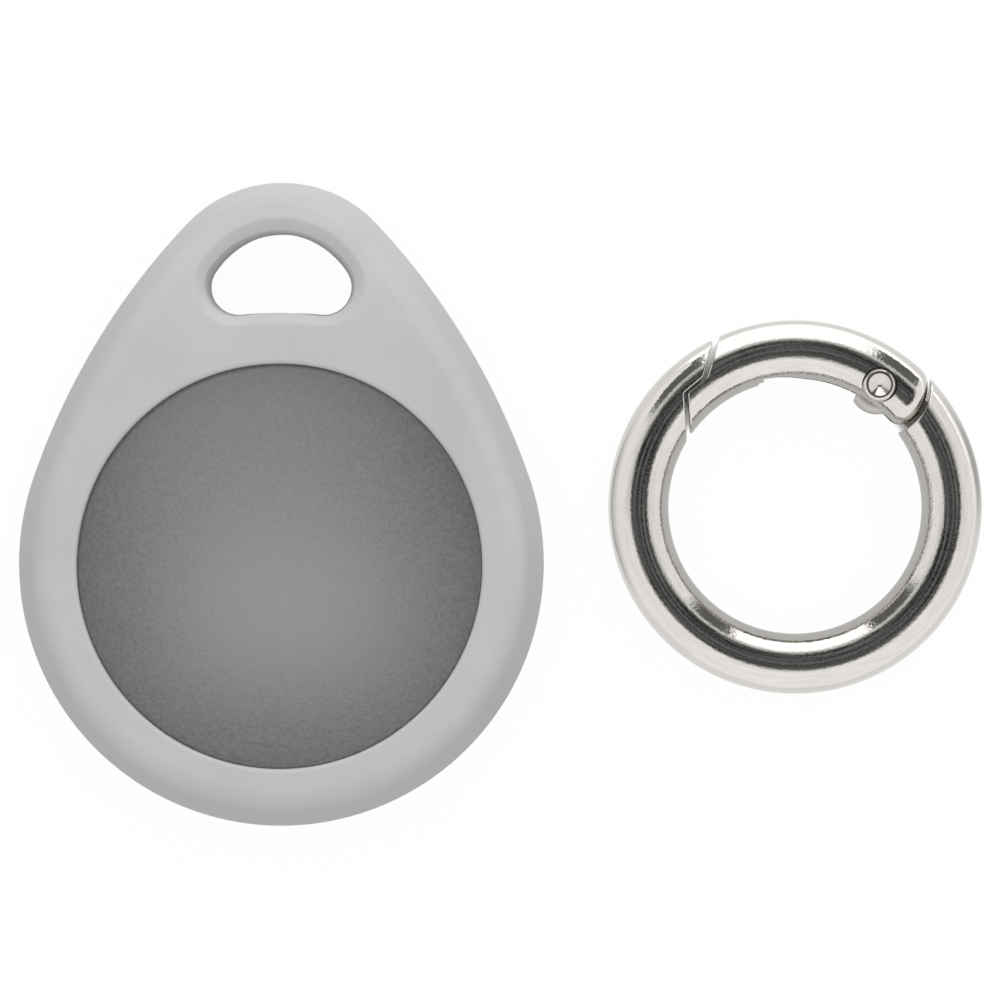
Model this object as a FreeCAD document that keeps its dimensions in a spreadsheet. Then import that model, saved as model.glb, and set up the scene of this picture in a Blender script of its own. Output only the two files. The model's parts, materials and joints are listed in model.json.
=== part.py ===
import FreeCAD, Part
import math
import os
import re
import Sketcher

doc = FreeCAD.newDocument("tracker_tag_holder")

# Every driving size: millimetres, and degrees where the name ends in angle or lean.
SIZES = [
    # coin tag as a whole
    ("tag_radius", "15.95", "coin tag, axis to side"),
    ("tag_height", "8.0", "coin tag, door face to top of dome"),
    ("dome_radius", "110", "curve of the tag's front"),
    ("shoulder_round", "0.95", "round between the tag's side and its front"),
    # silicone sleeve
    ("pocket_clearance", "0.1", "sleeve pocket around the tag"),
    ("side_wall", "3.6", "sleeve wall beside the tag"),
    ("body_lift", "0.18", "body circle beyond the tag axis, towards the loop"),
    ("floor_thickness", "1.3", "sleeve ledge behind the tag"),
    ("lip_proud", "0.1", "sleeve front above the top of the dome"),
    ("lip_overhang", "0.87", "front lip over the tag's shoulder"),
    ("rear_ledge", "4.0", "rear ledge under the tag"),
    ("bridge_wall", "3.15", "bridge between pocket and loop hole"),
    ("loop_opening", "5.7", "loop hole, bridge to arch on the centre line"),
    ("loop_band", "3.9", "band around the loop hole at the crown"),
    ("loop_arch_radius", "6.0", "arch of the loop hole"),
    ("loop_corner_radius", "2.1", "corners of the loop hole"),
    ("crown_radius", "9.65", "outer curve of the crown"),
    ("flank_radius", "53.5", "flank curve between body and crown"),
    ("crown_thickness", "6.0", "sleeve at the end of the crown"),
    ("camber_margin", "0.35", "flat front between window and camber"),
    ("front_round", "3.4", "outer front edge"),
    ("back_round", "2.2", "outer back edge"),
    ("edge_flat", "0.3", "least flat between the two outer edges"),
    ("loop_bevel", "0.8", "bevel around the loop hole"),
    ("lip_round", "0.3", "window edge"),
    ("rear_round", "0.3", "rear window edge"),
    # tag front cover
    ("cover_wall", "1.05", "skirt of the front cover"),
    ("cover_crown", "1.2", "front cover under the top of the dome"),
    ("ceiling_margin", "0.6", "flat ceiling around the sounder"),
    ("eave_drop", "1.2", "fall of the sloping ceiling"),
    ("skirt_round", "0.4", "lower outer edge of the skirt"),
    ("bayonet_depth", "0.5", "bayonet groove into the skirt"),
    ("bayonet_floor", "0.95", "lower side of the bayonet groove"),
    ("bayonet_height", "0.8", "height of the bayonet groove"),
    ("bayonet_play", "0.1", "lug clearance in the groove, each way"),
    ("bayonet_lug_angle", "9", "half width of a door lug"),
    ("bayonet_entry_angle", "11", "half width of an entry slot"),
    ("bayonet_turn_angle", "30", "turn from locked to released"),
    ("bayonet_lugs", "3", "lugs around the door"),
    # battery door and gasket
    ("door_clearance", "0.15", "door edge inside the skirt"),
    ("door_thickness", "1.0", "door plate"),
    ("door_rim_height", "0.7", "rim above the door plate"),
    ("door_rim_width", "1.55", "rim of the door"),
    ("coin_slot_length", "12", "coin slot across the door"),
    ("coin_slot_width", "1.7", "coin slot"),
    ("coin_slot_depth", "0.5", "coin slot into the door"),
    ("door_edge_bevel", "0.2", "outer edge of the door face"),
    ("gasket_thickness", "0.3", "door gasket"),
    ("gasket_inset", "0.2", "gasket inside the rim, each side"),
    # inner frame
    ("frame_clearance", "0.1", "frame inside the skirt"),
    ("frame_outer_wall", "1.4", "outer wall of the frame"),
    ("frame_bay_wall", "1.0", "wall around the cell"),
    ("frame_plate", "0.5", "plate between cell and board"),
    ("frame_head_gap", "0.05", "frame below the sloping ceiling"),
    # coin cell
    ("cell_radius", "10.0", "coin cell"),
    ("cell_bay_clearance", "0.2", "bay wall around the cell"),
    ("cell_seat_gap", "0.05", "cell above the door plate"),
    ("cell_metal", "0.25", "sheet of can and cap"),
    ("cell_crimp", "1.1", "crimped edge of the can"),
    ("cell_seal_wall", "0.35", "seal between can and cap"),
    ("cell_step", "0.3", "cap above the crimp"),
    ("cell_fit", "0.02", "fit between the cell's layers"),
    ("cell_top_gap", "0.35", "cell to frame plate"),
    # board and what it carries
    ("board_clearance", "0.2", "circuit board inside the frame"),
    ("board_thickness", "0.6", "circuit board"),
    ("board_key_radius", "0.9", "locating notch in the board edge"),
    ("chip_side", "5.0", "radio chip"),
    ("chip_height", "0.55", "radio chip"),
    ("chip_offset", "3.4", "radio chip from the axis"),
    ("crystal_length", "2.5", "timing crystal"),
    ("crystal_width", "2.0", "timing crystal"),
    ("crystal_height", "0.5", "timing crystal"),
    ("passive_length", "1.6", "small board part"),
    ("passive_width", "0.8", "small board part"),
    ("passive_height", "0.45", "small board part"),
    ("passive_inset", "3.0", "small board parts inside the antenna"),
    ("antenna_width", "0.7", "antenna track"),
    ("antenna_height", "0.15", "antenna track"),
    ("antenna_margin", "0.3", "antenna from the board edge"),
    # sounder
    ("sounder_room", "0.9", "board to sounder plate"),
    ("sounder_radius", "10.0", "brass sounder plate"),
    ("sounder_thickness", "0.2", "brass sounder plate"),
    ("ceramic_radius", "7.0", "sounder ceramic"),
    ("ceramic_thickness", "0.15", "sounder ceramic"),
    ("sounder_pin_radius", "0.4", "sounder contact pin"),
    ("sounder_pin_gap", "0.02", "pin to sounder"),
    ("ceramic_pin_offset", "5.2", "pin under the ceramic"),
    # battery contacts
    ("contact_thickness", "0.15", "contact sheet"),
    ("contact_width", "2.6", "contact strip"),
    ("contact_margin", "0.3", "frame slot around a contact"),
    ("contact_gap", "0.03", "contact to cell"),
    ("leaf_tip", "0.6", "inner end of the negative leaf"),
    ("leaf_bend", "2.0", "negative leaf where it leaves the cell"),
    ("leaf_rise", "4.4", "negative leaf where it meets the board"),
    ("leaf_end", "6.2", "outer end of the negative leaf"),
    ("clip_foot", "1.0", "foot of the positive clip"),
    ("clip_drop", "2.4", "lower end of the positive clip below the board"),
    # spring-gate ring
    ("ring_bore_radius", "9.54", "ring, clear bore"),
    ("wire_radius", "2.27", "ring section"),
    ("ring_spacing", "4.91", "gap between sleeve and ring as laid out"),
    ("ring_rise", "4.4", "ring centre beyond the tag axis, towards the loop"),
    ("hinge_angle", "55.7", "gate hinge around the ring as laid out"),
    ("pivot_inset", "0.68", "hinge inside the ring's centre line"),
    ("gate_end_radius", "3.68", "round end of the gate at the hinge"),
    ("gate_end_round", "1.2", "rounded edge of the gate's end"),
    ("shoulder_gap", "0.2", "gate end to ring shoulder"),
    ("lug_radius", "2.05", "ring lug around the rivet"),
    ("lug_shift", "0.2", "lug centre on the bore side of the hinge"),
    ("lug_thickness", "1.5", "ring lug"),
    ("lug_round", "0.7", "rounded edge of the lug"),
    ("lug_clearance", "0.12", "gate slot around the lug's edge"),
    ("slot_clearance", "0.1", "gate slot beside the lug"),
    ("neck_width", "2.4", "neck of the lug"),
    ("neck_root", "0.8", "neck sunk into the shoulder"),
    ("split_outer_angle", "58", "nose split at the outside, from the hinge"),
    ("split_step_angle", "68.8", "outer end of the step in the split"),
    ("split_heel_angle", "77.9", "inner end of the step in the split"),
    ("split_inner_angle", "90.3", "nose split at the bore"),
    ("split_gap", "0.2", "gap between nose and gate at the step"),
    ("split_mouth", "0.57", "gap between nose and gate at the outside"),
    ("split_throat", "0.5", "gap between nose and gate at the bore"),
    ("split_corner", "0.3", "corners of the step in the split"),
    ("split_edge", "0.12", "rounded edges of nose, gate and hinge"),
    ("gate_trim", "0.45", "relief on the gate's bore side"),
    ("trim_start_angle", "20", "relief begins, from the hinge"),
    ("trim_stop_angle", "48.4", "relief ends, from the hinge"),
    ("sweep_margin_angle", "4", "blank beyond the split before trimming"),
    ("gate_heel_angle", "24", "gate blank behind the hinge"),
    ("shoulder_angle", "10", "ring blank short of the hinge"),
    # rivet
    ("rivet_radius", "0.8", "rivet shank"),
    ("rivet_clearance", "0.05", "lug bore around the shank"),
    ("rivet_fit", "0.01", "cheek bore around the shank"),
    ("rivet_head_radius", "1.3", "rivet head"),
    ("rivet_head_height", "0.5", "rivet head"),
    ("rivet_head_round", "0.4", "edge of the rivet head"),
    ("head_recess_radius", "1.33", "recess for the rivet head"),
    ("head_recess_depth", "0.6", "recess below the crest of the gate"),
    ("dimple_radius", "0.84", "punch mark in the rivet head"),
    ("dimple_depth", "0.42", "punch mark in the rivet head"),
    # gate spring
    ("spring_lean", "9", "spring axis against the hinge tangent"),
    ("spring_offset", "0.66", "spring axis on the bore side of the hinge"),
    ("spring_seat", "1.17", "spring seat on the lug, from the hinge"),
    ("spring_length", "7.0", "spring as fitted"),
    ("spring_coil_radius", "0.5", "spring, axis to wire centre"),
    ("spring_wire_radius", "0.125", "spring wire"),
    ("spring_pitch", "0.72", "rise of one turn"),
    ("spring_clearance", "0.15", "gate slot beside the spring"),
    ("spring_end_gap", "0.03", "spring end to its seat"),
    # for making
    ("cut_overrun", "2.0", "cuts run past the stock"),
    ("pick_reach", "0.001", "reach when an edge is picked"),
]
NAMES = {alias for alias, value, meaning in SIZES}

# Sizes that follow from the driving ones.
RULES = {
    "pocket_radius": "tag_radius + pocket_clearance",
    "body_radius": "pocket_radius + side_wall",
    "holder_thickness": "floor_thickness + tag_height + lip_proud",
    "window_radius": "tag_radius - lip_overhang",
    "rear_window_radius": "tag_radius - rear_ledge",
    "loop_floor_radius": "pocket_radius + bridge_wall",
    "loop_top": "loop_floor_radius + loop_opening",
    "crown_top": "loop_top + loop_band",
    "crown_centre": "crown_top - crown_radius",
    "arch_centre": "loop_top - loop_arch_radius",
    # flank arc, tangent inside to the body circle and the crown circle
    "flank_body": "flank_radius - body_radius",
    "flank_crown": "flank_radius - crown_radius",
    "crown_reach": "crown_centre - body_lift",
    "flank_rise": "(flank_body^2 - flank_crown^2 + crown_reach^2) / (2 * crown_reach)",
    "flank_x": "sqrt(flank_body^2 - flank_rise^2)",
    "flank_y": "body_lift + flank_rise",
    "waist_x": "flank_x * body_radius / flank_body",
    "waist_y": "body_lift - flank_rise * body_radius / flank_body",
    "neck_x": "flank_x * crown_radius / flank_crown",
    "neck_y": "crown_centre + (crown_centre - flank_y) * crown_radius / flank_crown",
    # loop hole corners, tangent to the arch inside and to the bridge outside
    "corner_out": "loop_floor_radius + loop_corner_radius",
    "corner_in": "loop_arch_radius - loop_corner_radius",
    "corner_y": "(corner_out^2 - corner_in^2 + arch_centre^2) / (2 * arch_centre)",
    "corner_x": "sqrt(corner_in^2 - (corner_y - arch_centre)^2)",
    "sill_x": "corner_x * loop_floor_radius / corner_out",
    "sill_y": "corner_y * loop_floor_radius / corner_out",
    "spring_line_x": "corner_x * loop_arch_radius / corner_in",
    "spring_line_y": "arch_centre + (corner_y - arch_centre) * loop_arch_radius / corner_in",
    # front camber, level at the window and falling to the crown
    "camber_start": "window_radius + camber_margin",
    "camber_length": "crown_top - camber_start",
    "camber_drop": "holder_thickness - crown_thickness",
    "front_edge": "min(front_round; crown_thickness - back_round - edge_flat)",
    "camber_radius": "(camber_length^2 + camber_drop^2) / (2 * camber_drop)",
    "camber_stop": "crown_top + cut_overrun",
    "camber_end": "holder_thickness - camber_radius"
                  " + sqrt(camber_radius^2 - (camber_length + cut_overrun)^2)",
    # tag section, heights above the tag's door face
    "shoulder_r": "tag_radius - shoulder_round",
    "dome_z": "tag_height - dome_radius",
    "shoulder_z": "dome_z + sqrt((dome_radius - shoulder_round)^2 - shoulder_r^2)",
    "brow_share": "dome_radius / (dome_radius - shoulder_round)",
    "brow_r": "shoulder_r * brow_share",
    "brow_z": "dome_z + (shoulder_z - dome_z) * brow_share",
    "lip_z": "shoulder_z + sqrt((shoulder_round + pocket_clearance)^2"
             " - (window_radius - shoulder_r)^2)",
    "skirt_radius": "tag_radius - cover_wall",
    "ceiling_z": "tag_height - cover_crown",
    "ceiling_eave": "ceiling_z - eave_drop",
    "ceiling_radius": "sounder_radius + ceiling_margin",
    "bayonet_radius": "skirt_radius + bayonet_depth",
    "bayonet_top": "bayonet_floor + bayonet_height",
    "door_radius": "skirt_radius - door_clearance",
    "door_rim_z": "door_thickness + door_rim_height",
    "frame_floor": "door_rim_z + gasket_thickness",
    "frame_radius": "skirt_radius - frame_clearance",
    "frame_bore": "frame_radius - frame_outer_wall",
    "cell_z": "door_thickness + cell_seat_gap",
    "bay_radius": "cell_radius + cell_bay_clearance",
    # the layers hang from the ceiling, and the cell fills the height below them
    "sounder_z": "ceiling_z - sounder_thickness",
    "ceramic_z": "sounder_z - ceramic_thickness",
    "board_top": "sounder_z - sounder_room",
    "board_z": "board_top - board_thickness",
    "plate_z": "board_z - frame_plate",
    "cell_top": "plate_z - cell_top_gap",
    "cell_height": "cell_top - cell_z",
    "board_radius": "frame_bore - board_clearance",
    "passive_circle": "board_radius - antenna_margin - antenna_width - passive_inset",
    "plate_pin_offset": "(sounder_radius + ceramic_radius) / 2",
    # ring, in its own frame with the hinge on +X
    "ring_radius": "ring_bore_radius + wire_radius",
    "ring_outer": "ring_bore_radius + 2 * wire_radius",
    "ring_x": "body_radius + ring_spacing + ring_outer",
    "pivot_x": "ring_radius - pivot_inset",
    "gap_angle": "split_gap / ring_radius * 180 / pi",
    "nose_tip_angle": "split_outer_angle + split_mouth / ring_outer * 180 / pi",
    "nose_throat_angle": "split_inner_angle + split_throat / ring_bore_radius * 180 / pi",
    "lug_x": "pivot_x - lug_shift",
    "lug_slot_radius": "lug_radius + lug_clearance",
    "neck_slot": "neck_width / 2 + lug_clearance",
    "slot_width": "lug_thickness + 2 * slot_clearance",
    "shoulder_radius": "gate_end_radius + shoulder_gap",
    "spring_stop": "spring_seat + spring_length",
    "spring_side": "spring_coil_radius + spring_wire_radius + spring_clearance - spring_offset",
    "recess_top": "2 * wire_radius - head_recess_depth",
}

sheet = doc.addObject("Spreadsheet::Sheet", "Sizes")
for row, (alias, value, meaning) in enumerate(SIZES, start=1):
    sheet.set(f"A{row}", meaning)
    sheet.set(f"B{row}", value)
    sheet.setAlias(f"B{row}", alias)
doc.recompute()


def bound(text):
    """Write a formula of size names as an expression on the sheet."""
    def swap(found):
        word = found.group()
        if word in RULES:
            return "(" + bound(RULES[word]) + ")"
        return "Sizes." + word if word in NAMES else word
    return re.sub(r"[a-z][a-z_0-9]*", swap, text)


def number(text):
    """Work a formula of size names out."""
    value = sheet.evalExpression(bound(text))
    return float(getattr(value, "Value", value))


def polar(radius, angle):
    """A corner at a radius and an angle, as two formulas."""
    return f"({radius}) * cos({angle})", f"({radius}) * sin({angle})"


def leaning(along, aside):
    """A corner along and beside the spring axis, seen from the hinge."""
    x = f"pivot_x - ({along}) * sin(spring_lean) + ({aside}) * cos(spring_lean)"
    y = f"({along}) * cos(spring_lean) + ({aside}) * sin(spring_lean)"
    return x, y


def new_body(label):
    body = doc.addObject("PartDesign::Body", label)
    body.Label = label
    return body


def new_sketch(body, plane, lift=None, turn=None, aside=None):
    """A sketch on one of the body's own planes, lifted, turned about the upright or set aside."""
    sketch = body.newObject("Sketcher::SketchObject", body.Name + "_sketch")
    origin = [f for f in body.Origin.OriginFeatures if f.Role == plane + "_Plane"][0]
    sketch.AttachmentSupport = [(origin, "")]
    sketch.MapMode = "FlatFace"
    if lift:
        sketch.AttachmentOffset = FreeCAD.Placement(
            FreeCAD.Vector(0, 0, number(lift)), FreeCAD.Rotation())
        sketch.setExpression("AttachmentOffset.Base.z", bound(lift))
    if turn:
        sketch.AttachmentOffset = FreeCAD.Placement(
            FreeCAD.Vector(), FreeCAD.Rotation(FreeCAD.Vector(0, 1, 0), number(turn)))
        sketch.setExpression("AttachmentOffset.Rotation.Angle", bound(turn))
    if aside:
        sketch.AttachmentOffset.Base.x = number(aside)
        sketch.setExpression("AttachmentOffset.Base.x", bound(aside))
    return sketch


def pin(sketch, side, end, x, y):
    """Hold one end of a side at a place given by two formulas."""
    for kind, text, axis in (("DistanceX", x, -2), ("DistanceY", y, -1)):
        if text == "0":
            sketch.addConstraint(Sketcher.Constraint("PointOnObject", side, end, axis))
        else:
            held = sketch.addConstraint(
                Sketcher.Constraint(kind, -1, 1, side, end, number(text)))
            sketch.setExpression(f"Constraints[{held}]", bound(text))


def set_radius(sketch, side, radius):
    held = sketch.addConstraint(Sketcher.Constraint("Radius", side, number(radius)))
    sketch.setExpression(f"Constraints[{held}]", bound(radius))


def draw(sketch, corners, arcs=None):
    """A closed outline; arcs gives (radius, +1 left turn or -1 right turn) by side."""
    arcs = arcs or {}
    points = [FreeCAD.Vector(number(x), number(y), 0) for x, y in corners]
    ends = []
    for index, start in enumerate(points):
        stop = points[(index + 1) % len(points)]
        if index not in arcs:
            side = sketch.addGeometry(Part.LineSegment(start, stop))
            ends.append((side, 1, 2))
            continue
        radius, way = number(arcs[index][0]), arcs[index][1]
        chord = stop - start
        reach = math.sqrt(max(radius ** 2 - (chord.Length / 2) ** 2, 0))
        left = FreeCAD.Vector(-chord.y, chord.x, 0).normalize()
        centre = (start + stop) * 0.5 + left * (reach * way)
        first, last = (start, stop) if way > 0 else (stop, start)
        opening = math.atan2(first.y - centre.y, first.x - centre.x)
        closing = math.atan2(last.y - centre.y, last.x - centre.x)
        if closing < opening:
            closing += 2 * math.pi
        circle = Part.Circle(centre, FreeCAD.Vector(0, 0, 1), radius)
        side = sketch.addGeometry(Part.ArcOfCircle(circle, opening, closing))
        ends.append((side, 1, 2) if way > 0 else (side, 2, 1))
    for index, (side, near, far) in enumerate(ends):
        after, after_near, after_far = ends[(index + 1) % len(ends)]
        sketch.addConstraint(
            Sketcher.Constraint("Coincident", side, far, after, after_near))
        pin(sketch, side, near, *corners[index])
        if index in arcs:
            set_radius(sketch, side, arcs[index][0])
    return sketch


def draw_circle(sketch, x, y, radius):
    place = FreeCAD.Vector(number(x), number(y), 0)
    side = sketch.addGeometry(
        Part.Circle(place, FreeCAD.Vector(0, 0, 1), number(radius)))
    pin(sketch, side, 3, x, y)
    set_radius(sketch, side, radius)
    return sketch


def feature(body, kind, sketch, **sizes):
    """Add a pad, pocket, revolution or groove on a sketch, its sizes bound."""
    made = body.newObject("PartDesign::" + kind, body.Name + "_" + kind.lower())
    made.Profile = sketch
    if kind in ("Revolution", "Groove"):
        made.ReferenceAxis = (sketch, ["V_Axis"])
    for name, text in sizes.items():
        if name in ("Type", "SideType", "Reversed"):
            setattr(made, name, text)
        else:
            made.setExpression(name, bound(text))
    doc.recompute()
    return made


def dress(body, kind, edges, size):
    """Round or bevel edges of the body's last feature."""
    base = body.Tip
    made = body.newObject("PartDesign::" + kind, body.Name + "_" + kind.lower())
    made.Base = (base, edges)
    made.setExpression("Radius" if kind == "Fillet" else "Size", bound(size))
    doc.recompute()
    return made


def pick(body, wanted):
    """Names of the edges of the body's last feature whose middle passes a test."""
    names = []
    for index, edge in enumerate(body.Tip.Shape.Edges, start=1):
        low, high = edge.ParameterRange
        if wanted(edge, edge.valueAt((low + high) / 2)):
            names.append(f"Edge{index}")
    return names


def on_outline(sketch, edge, middle):
    """True for an edge that runs over a flat outline and isn't upright."""
    spread = edge.BoundBox.XLength + edge.BoundBox.YLength
    foot = Part.Vertex(middle.x, middle.y, 0)
    reach = number("pick_reach")
    return spread > reach and sketch.Shape.distToShape(foot)[0] < reach


def seat(piece, height="0", x="0", y="0"):
    """Stand a piece of the tag or the ring in its place."""
    for axis, text in (("x", x), ("y", y), ("z", height)):
        piece.setExpression("Placement.Base." + axis, bound(text))
    return piece


def on_ring(piece):
    """Lay a ring piece beside the sleeve, turned to its hinge."""
    piece.Placement = FreeCAD.Placement(
        FreeCAD.Vector(), FreeCAD.Rotation(FreeCAD.Vector(0, 0, 1), number("hinge_angle")))
    piece.setExpression("Placement.Rotation.Angle", bound("hinge_angle"))
    return seat(piece, "0", "ring_x", "ring_rise")


def primitive(kind, label, **sizes):
    made = doc.addObject("Part::" + kind, label)
    made.Label = label
    for name, text in sizes.items():
        made.setExpression(name, bound(text))
    return made


def joined(kind, label, pieces):
    """A compound or a boolean of finished pieces."""
    made = doc.addObject("Part::" + kind, label)
    made.Label = label
    if kind == "Cut":
        made.Base, made.Tool = pieces
    else:
        made.Links = pieces
    return made


nodes = []

# Sleeve: teardrop blank, cambered crown, rounded edges, loop hole and tag pocket.
sleeve = new_body("holder_sleeve")
outline = draw(
    new_sketch(sleeve, "XY"),
    [("waist_x", "waist_y"), ("neck_x", "neck_y"), ("-neck_x", "neck_y"),
     ("-waist_x", "waist_y"), ("0", "body_lift - body_radius")],
    {0: ("flank_radius", 1), 1: ("crown_radius", 1), 2: ("flank_radius", 1),
     3: ("body_radius", 1), 4: ("body_radius", 1)})
feature(sleeve, "Pad", outline, Length="holder_thickness")
camber = draw(
    new_sketch(sleeve, "YZ"),
    [("camber_start", "holder_thickness"), ("camber_stop", "camber_end"),
     ("camber_stop", "holder_thickness + cut_overrun"),
     ("camber_start", "holder_thickness + cut_overrun")],
    {0: ("camber_radius", -1)})
feature(sleeve, "Pocket", camber, Type="ThroughAll", SideType="Symmetric")
half_way = number("holder_thickness / 2")
dress(sleeve, "Fillet",
      pick(sleeve, lambda e, p: p.z > half_way and on_outline(outline, e, p)), "front_edge")
dress(sleeve, "Fillet",
      pick(sleeve, lambda e, p: p.z < half_way and on_outline(outline, e, p)), "back_round")
loop_hole = draw(
    new_sketch(sleeve, "XY"),
    [("sill_x", "sill_y"), ("spring_line_x", "spring_line_y"),
     ("-spring_line_x", "spring_line_y"), ("-sill_x", "sill_y")],
    {0: ("loop_corner_radius", 1), 1: ("loop_arch_radius", 1),
     2: ("loop_corner_radius", 1), 3: ("loop_floor_radius", -1)})
feature(sleeve, "Pocket", loop_hole, Type="ThroughAll", SideType="Symmetric")
dress(sleeve, "Chamfer",
      pick(sleeve, lambda e, p: on_outline(loop_hole, e, p)), "loop_bevel")
pocket = draw(
    new_sketch(sleeve, "XZ"),
    [("0", "-cut_overrun"), ("rear_window_radius", "-cut_overrun"),
     ("rear_window_radius", "floor_thickness"), ("pocket_radius", "floor_thickness"),
     ("pocket_radius", "floor_thickness + shoulder_z"),
     ("window_radius", "floor_thickness + lip_z"),
     ("window_radius", "holder_thickness + cut_overrun"),
     ("0", "holder_thickness + cut_overrun")],
    {4: ("shoulder_round + pocket_clearance", 1)})
feature(sleeve, "Groove", pocket)


def rim(radius, height):
    """Test for a round edge about the tag axis."""
    wide, high, reach = number(radius), number(height), number("pick_reach")
    return lambda e, p: (abs(math.hypot(p.x, p.y) - wide) < reach
                         and abs(p.z - high) < reach and e.BoundBox.ZLength < reach)


dress(sleeve, "Fillet", pick(sleeve, rim("window_radius", "holder_thickness")), "lip_round")
dress(sleeve, "Fillet", pick(sleeve, rim("rear_window_radius", "0")), "rear_round")
nodes.append(sleeve)

# Front cover of the tag: domed cup with a bayonet groove near its lower edge.
cover = new_body("tag_front_cover")
section = draw(
    new_sketch(cover, "XZ"),
    [("0", "ceiling_z"), ("ceiling_radius", "ceiling_z"), ("skirt_radius", "ceiling_eave"),
     ("skirt_radius", "bayonet_top"), ("bayonet_radius", "bayonet_top"),
     ("bayonet_radius", "bayonet_floor"), ("skirt_radius", "bayonet_floor"),
     ("skirt_radius", "0"), ("tag_radius - skirt_round", "0"),
     ("tag_radius", "skirt_round"), ("tag_radius", "shoulder_z"),
     ("brow_r", "brow_z"), ("0", "tag_height")],
    {8: ("skirt_round", 1), 10: ("shoulder_round", 1), 11: ("dome_radius", 1)})
feature(cover, "Revolution", section)
inner = "skirt_radius - bayonet_depth"
entry_from = "-bayonet_turn_angle - bayonet_entry_angle"
entry_to = "-bayonet_turn_angle + bayonet_entry_angle"
entry = draw(
    new_sketch(cover, "XY"),
    [polar(inner, entry_from), polar("bayonet_radius", entry_from),
     polar("bayonet_radius", entry_to), polar(inner, entry_to)],
    {1: ("bayonet_radius", 1), 3: (inner, -1)})
slot = feature(cover, "Pocket", entry, Length="bayonet_top", Reversed=True)


def around(body, original):
    """Repeat a feature evenly around the tag axis, once for every bayonet lug."""
    made = body.newObject("PartDesign::PolarPattern", body.Name + "_pattern")
    made.Originals = [original]
    axis = [f for f in body.Origin.OriginFeatures if f.Role == "Z_Axis"][0]
    made.Axis = (axis, [""])
    made.Angle = 360
    made.setExpression("Occurrences", bound("bayonet_lugs"))
    body.Tip = made
    doc.recompute()


around(cover, slot)
nodes.append(seat(cover, "floor_thickness"))


def ring_pad(body, inside, outside, bottom, height):
    """Raise a flat ring about the body's axis."""
    sketch = new_sketch(body, "XY", lift=bottom)
    draw_circle(sketch, "0", "0", outside)
    draw_circle(sketch, "0", "0", inside)
    feature(body, "Pad", sketch, Length=height)


def washer(label, inside, outside, height, bottom):
    """A flat ring of its own in the tag."""
    body = new_body(label)
    ring_pad(body, inside, outside, bottom, height)
    return seat(body, "floor_thickness")


# Battery door: plate with a rim, bayonet lugs and a coin slot in its outer face.
door = new_body("battery_door")
section = draw(
    new_sketch(door, "XZ"),
    [("0", "0"), ("door_radius - door_edge_bevel", "0"), ("door_radius", "door_edge_bevel"),
     ("door_radius", "door_rim_z"), ("door_radius - door_rim_width", "door_rim_z"),
     ("door_radius - door_rim_width", "door_thickness"), ("0", "door_thickness")])
feature(door, "Revolution", section)
lug_reach = "bayonet_radius - bayonet_play"
lug_root = "door_radius - door_rim_width / 2"
lug = draw(
    new_sketch(door, "XY", lift="bayonet_floor + bayonet_play"),
    [polar(lug_root, "-bayonet_lug_angle"), polar(lug_reach, "-bayonet_lug_angle"),
     polar(lug_reach, "bayonet_lug_angle"), polar(lug_root, "bayonet_lug_angle")],
    {1: (lug_reach, 1), 3: (lug_root, -1)})
around(door, feature(door, "Pad", lug, Length="bayonet_height - 2 * bayonet_play"))
coin_slot = draw(
    new_sketch(door, "XY"),
    [("-coin_slot_length / 2", "-coin_slot_width / 2"),
     ("coin_slot_length / 2", "-coin_slot_width / 2"),
     ("coin_slot_length / 2 + coin_slot_width / 2", "0"),
     ("coin_slot_length / 2", "coin_slot_width / 2"),
     ("-coin_slot_length / 2", "coin_slot_width / 2"),
     ("-coin_slot_length / 2 - coin_slot_width / 2", "0")],
    {side: ("coin_slot_width / 2", 1) for side in (1, 2, 4, 5)})
feature(door, "Pocket", coin_slot, Length="coin_slot_depth", Reversed=True)
nodes.append(seat(door, "floor_thickness"))
nodes.append(washer(
    "door_gasket", "door_radius - door_rim_width + gasket_inset",
    "door_radius - gasket_inset", "gasket_thickness", "door_rim_z"))

# Inner frame: plate over the cell, bay wall around it, outer wall in the skirt.
frame = new_body("tag_frame")
plate = draw_circle(new_sketch(frame, "XY", lift="plate_z"), "0", "0", "frame_radius")
feature(frame, "Pad", plate, Length="frame_plate")
ring_pad(frame, "bay_radius", "bay_radius + frame_bay_wall", "frame_floor",
         "plate_z - frame_floor")
ring_pad(frame, "frame_bore", "frame_radius", "frame_floor",
         "ceiling_eave - frame_head_gap - frame_floor")
half_slot = "contact_width / 2 + contact_margin"
clip_in = "cell_radius + contact_gap"
clip_out = "cell_radius + contact_gap + contact_thickness"
for near, far in (("leaf_tip - contact_margin", "leaf_end + contact_margin"),
                  (f"-({clip_out} + clip_foot + contact_margin)",
                   "-cell_radius + contact_margin")):
    window = draw(
        new_sketch(frame, "XY"),
        [(near, f"-({half_slot})"), (far, f"-({half_slot})"), (far, half_slot),
         (near, half_slot)])
    feature(frame, "Pocket", window, Type="ThroughAll", SideType="Symmetric")
nodes.append(seat(frame, "floor_thickness"))


# Coin cell: can, seal, cap and the electrode stack.
def turned(label, corners, height):
    """A piece turned about the tag axis."""
    body = new_body(label)
    feature(body, "Revolution", draw(new_sketch(body, "XZ"), corners))
    return seat(body, height)


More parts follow.
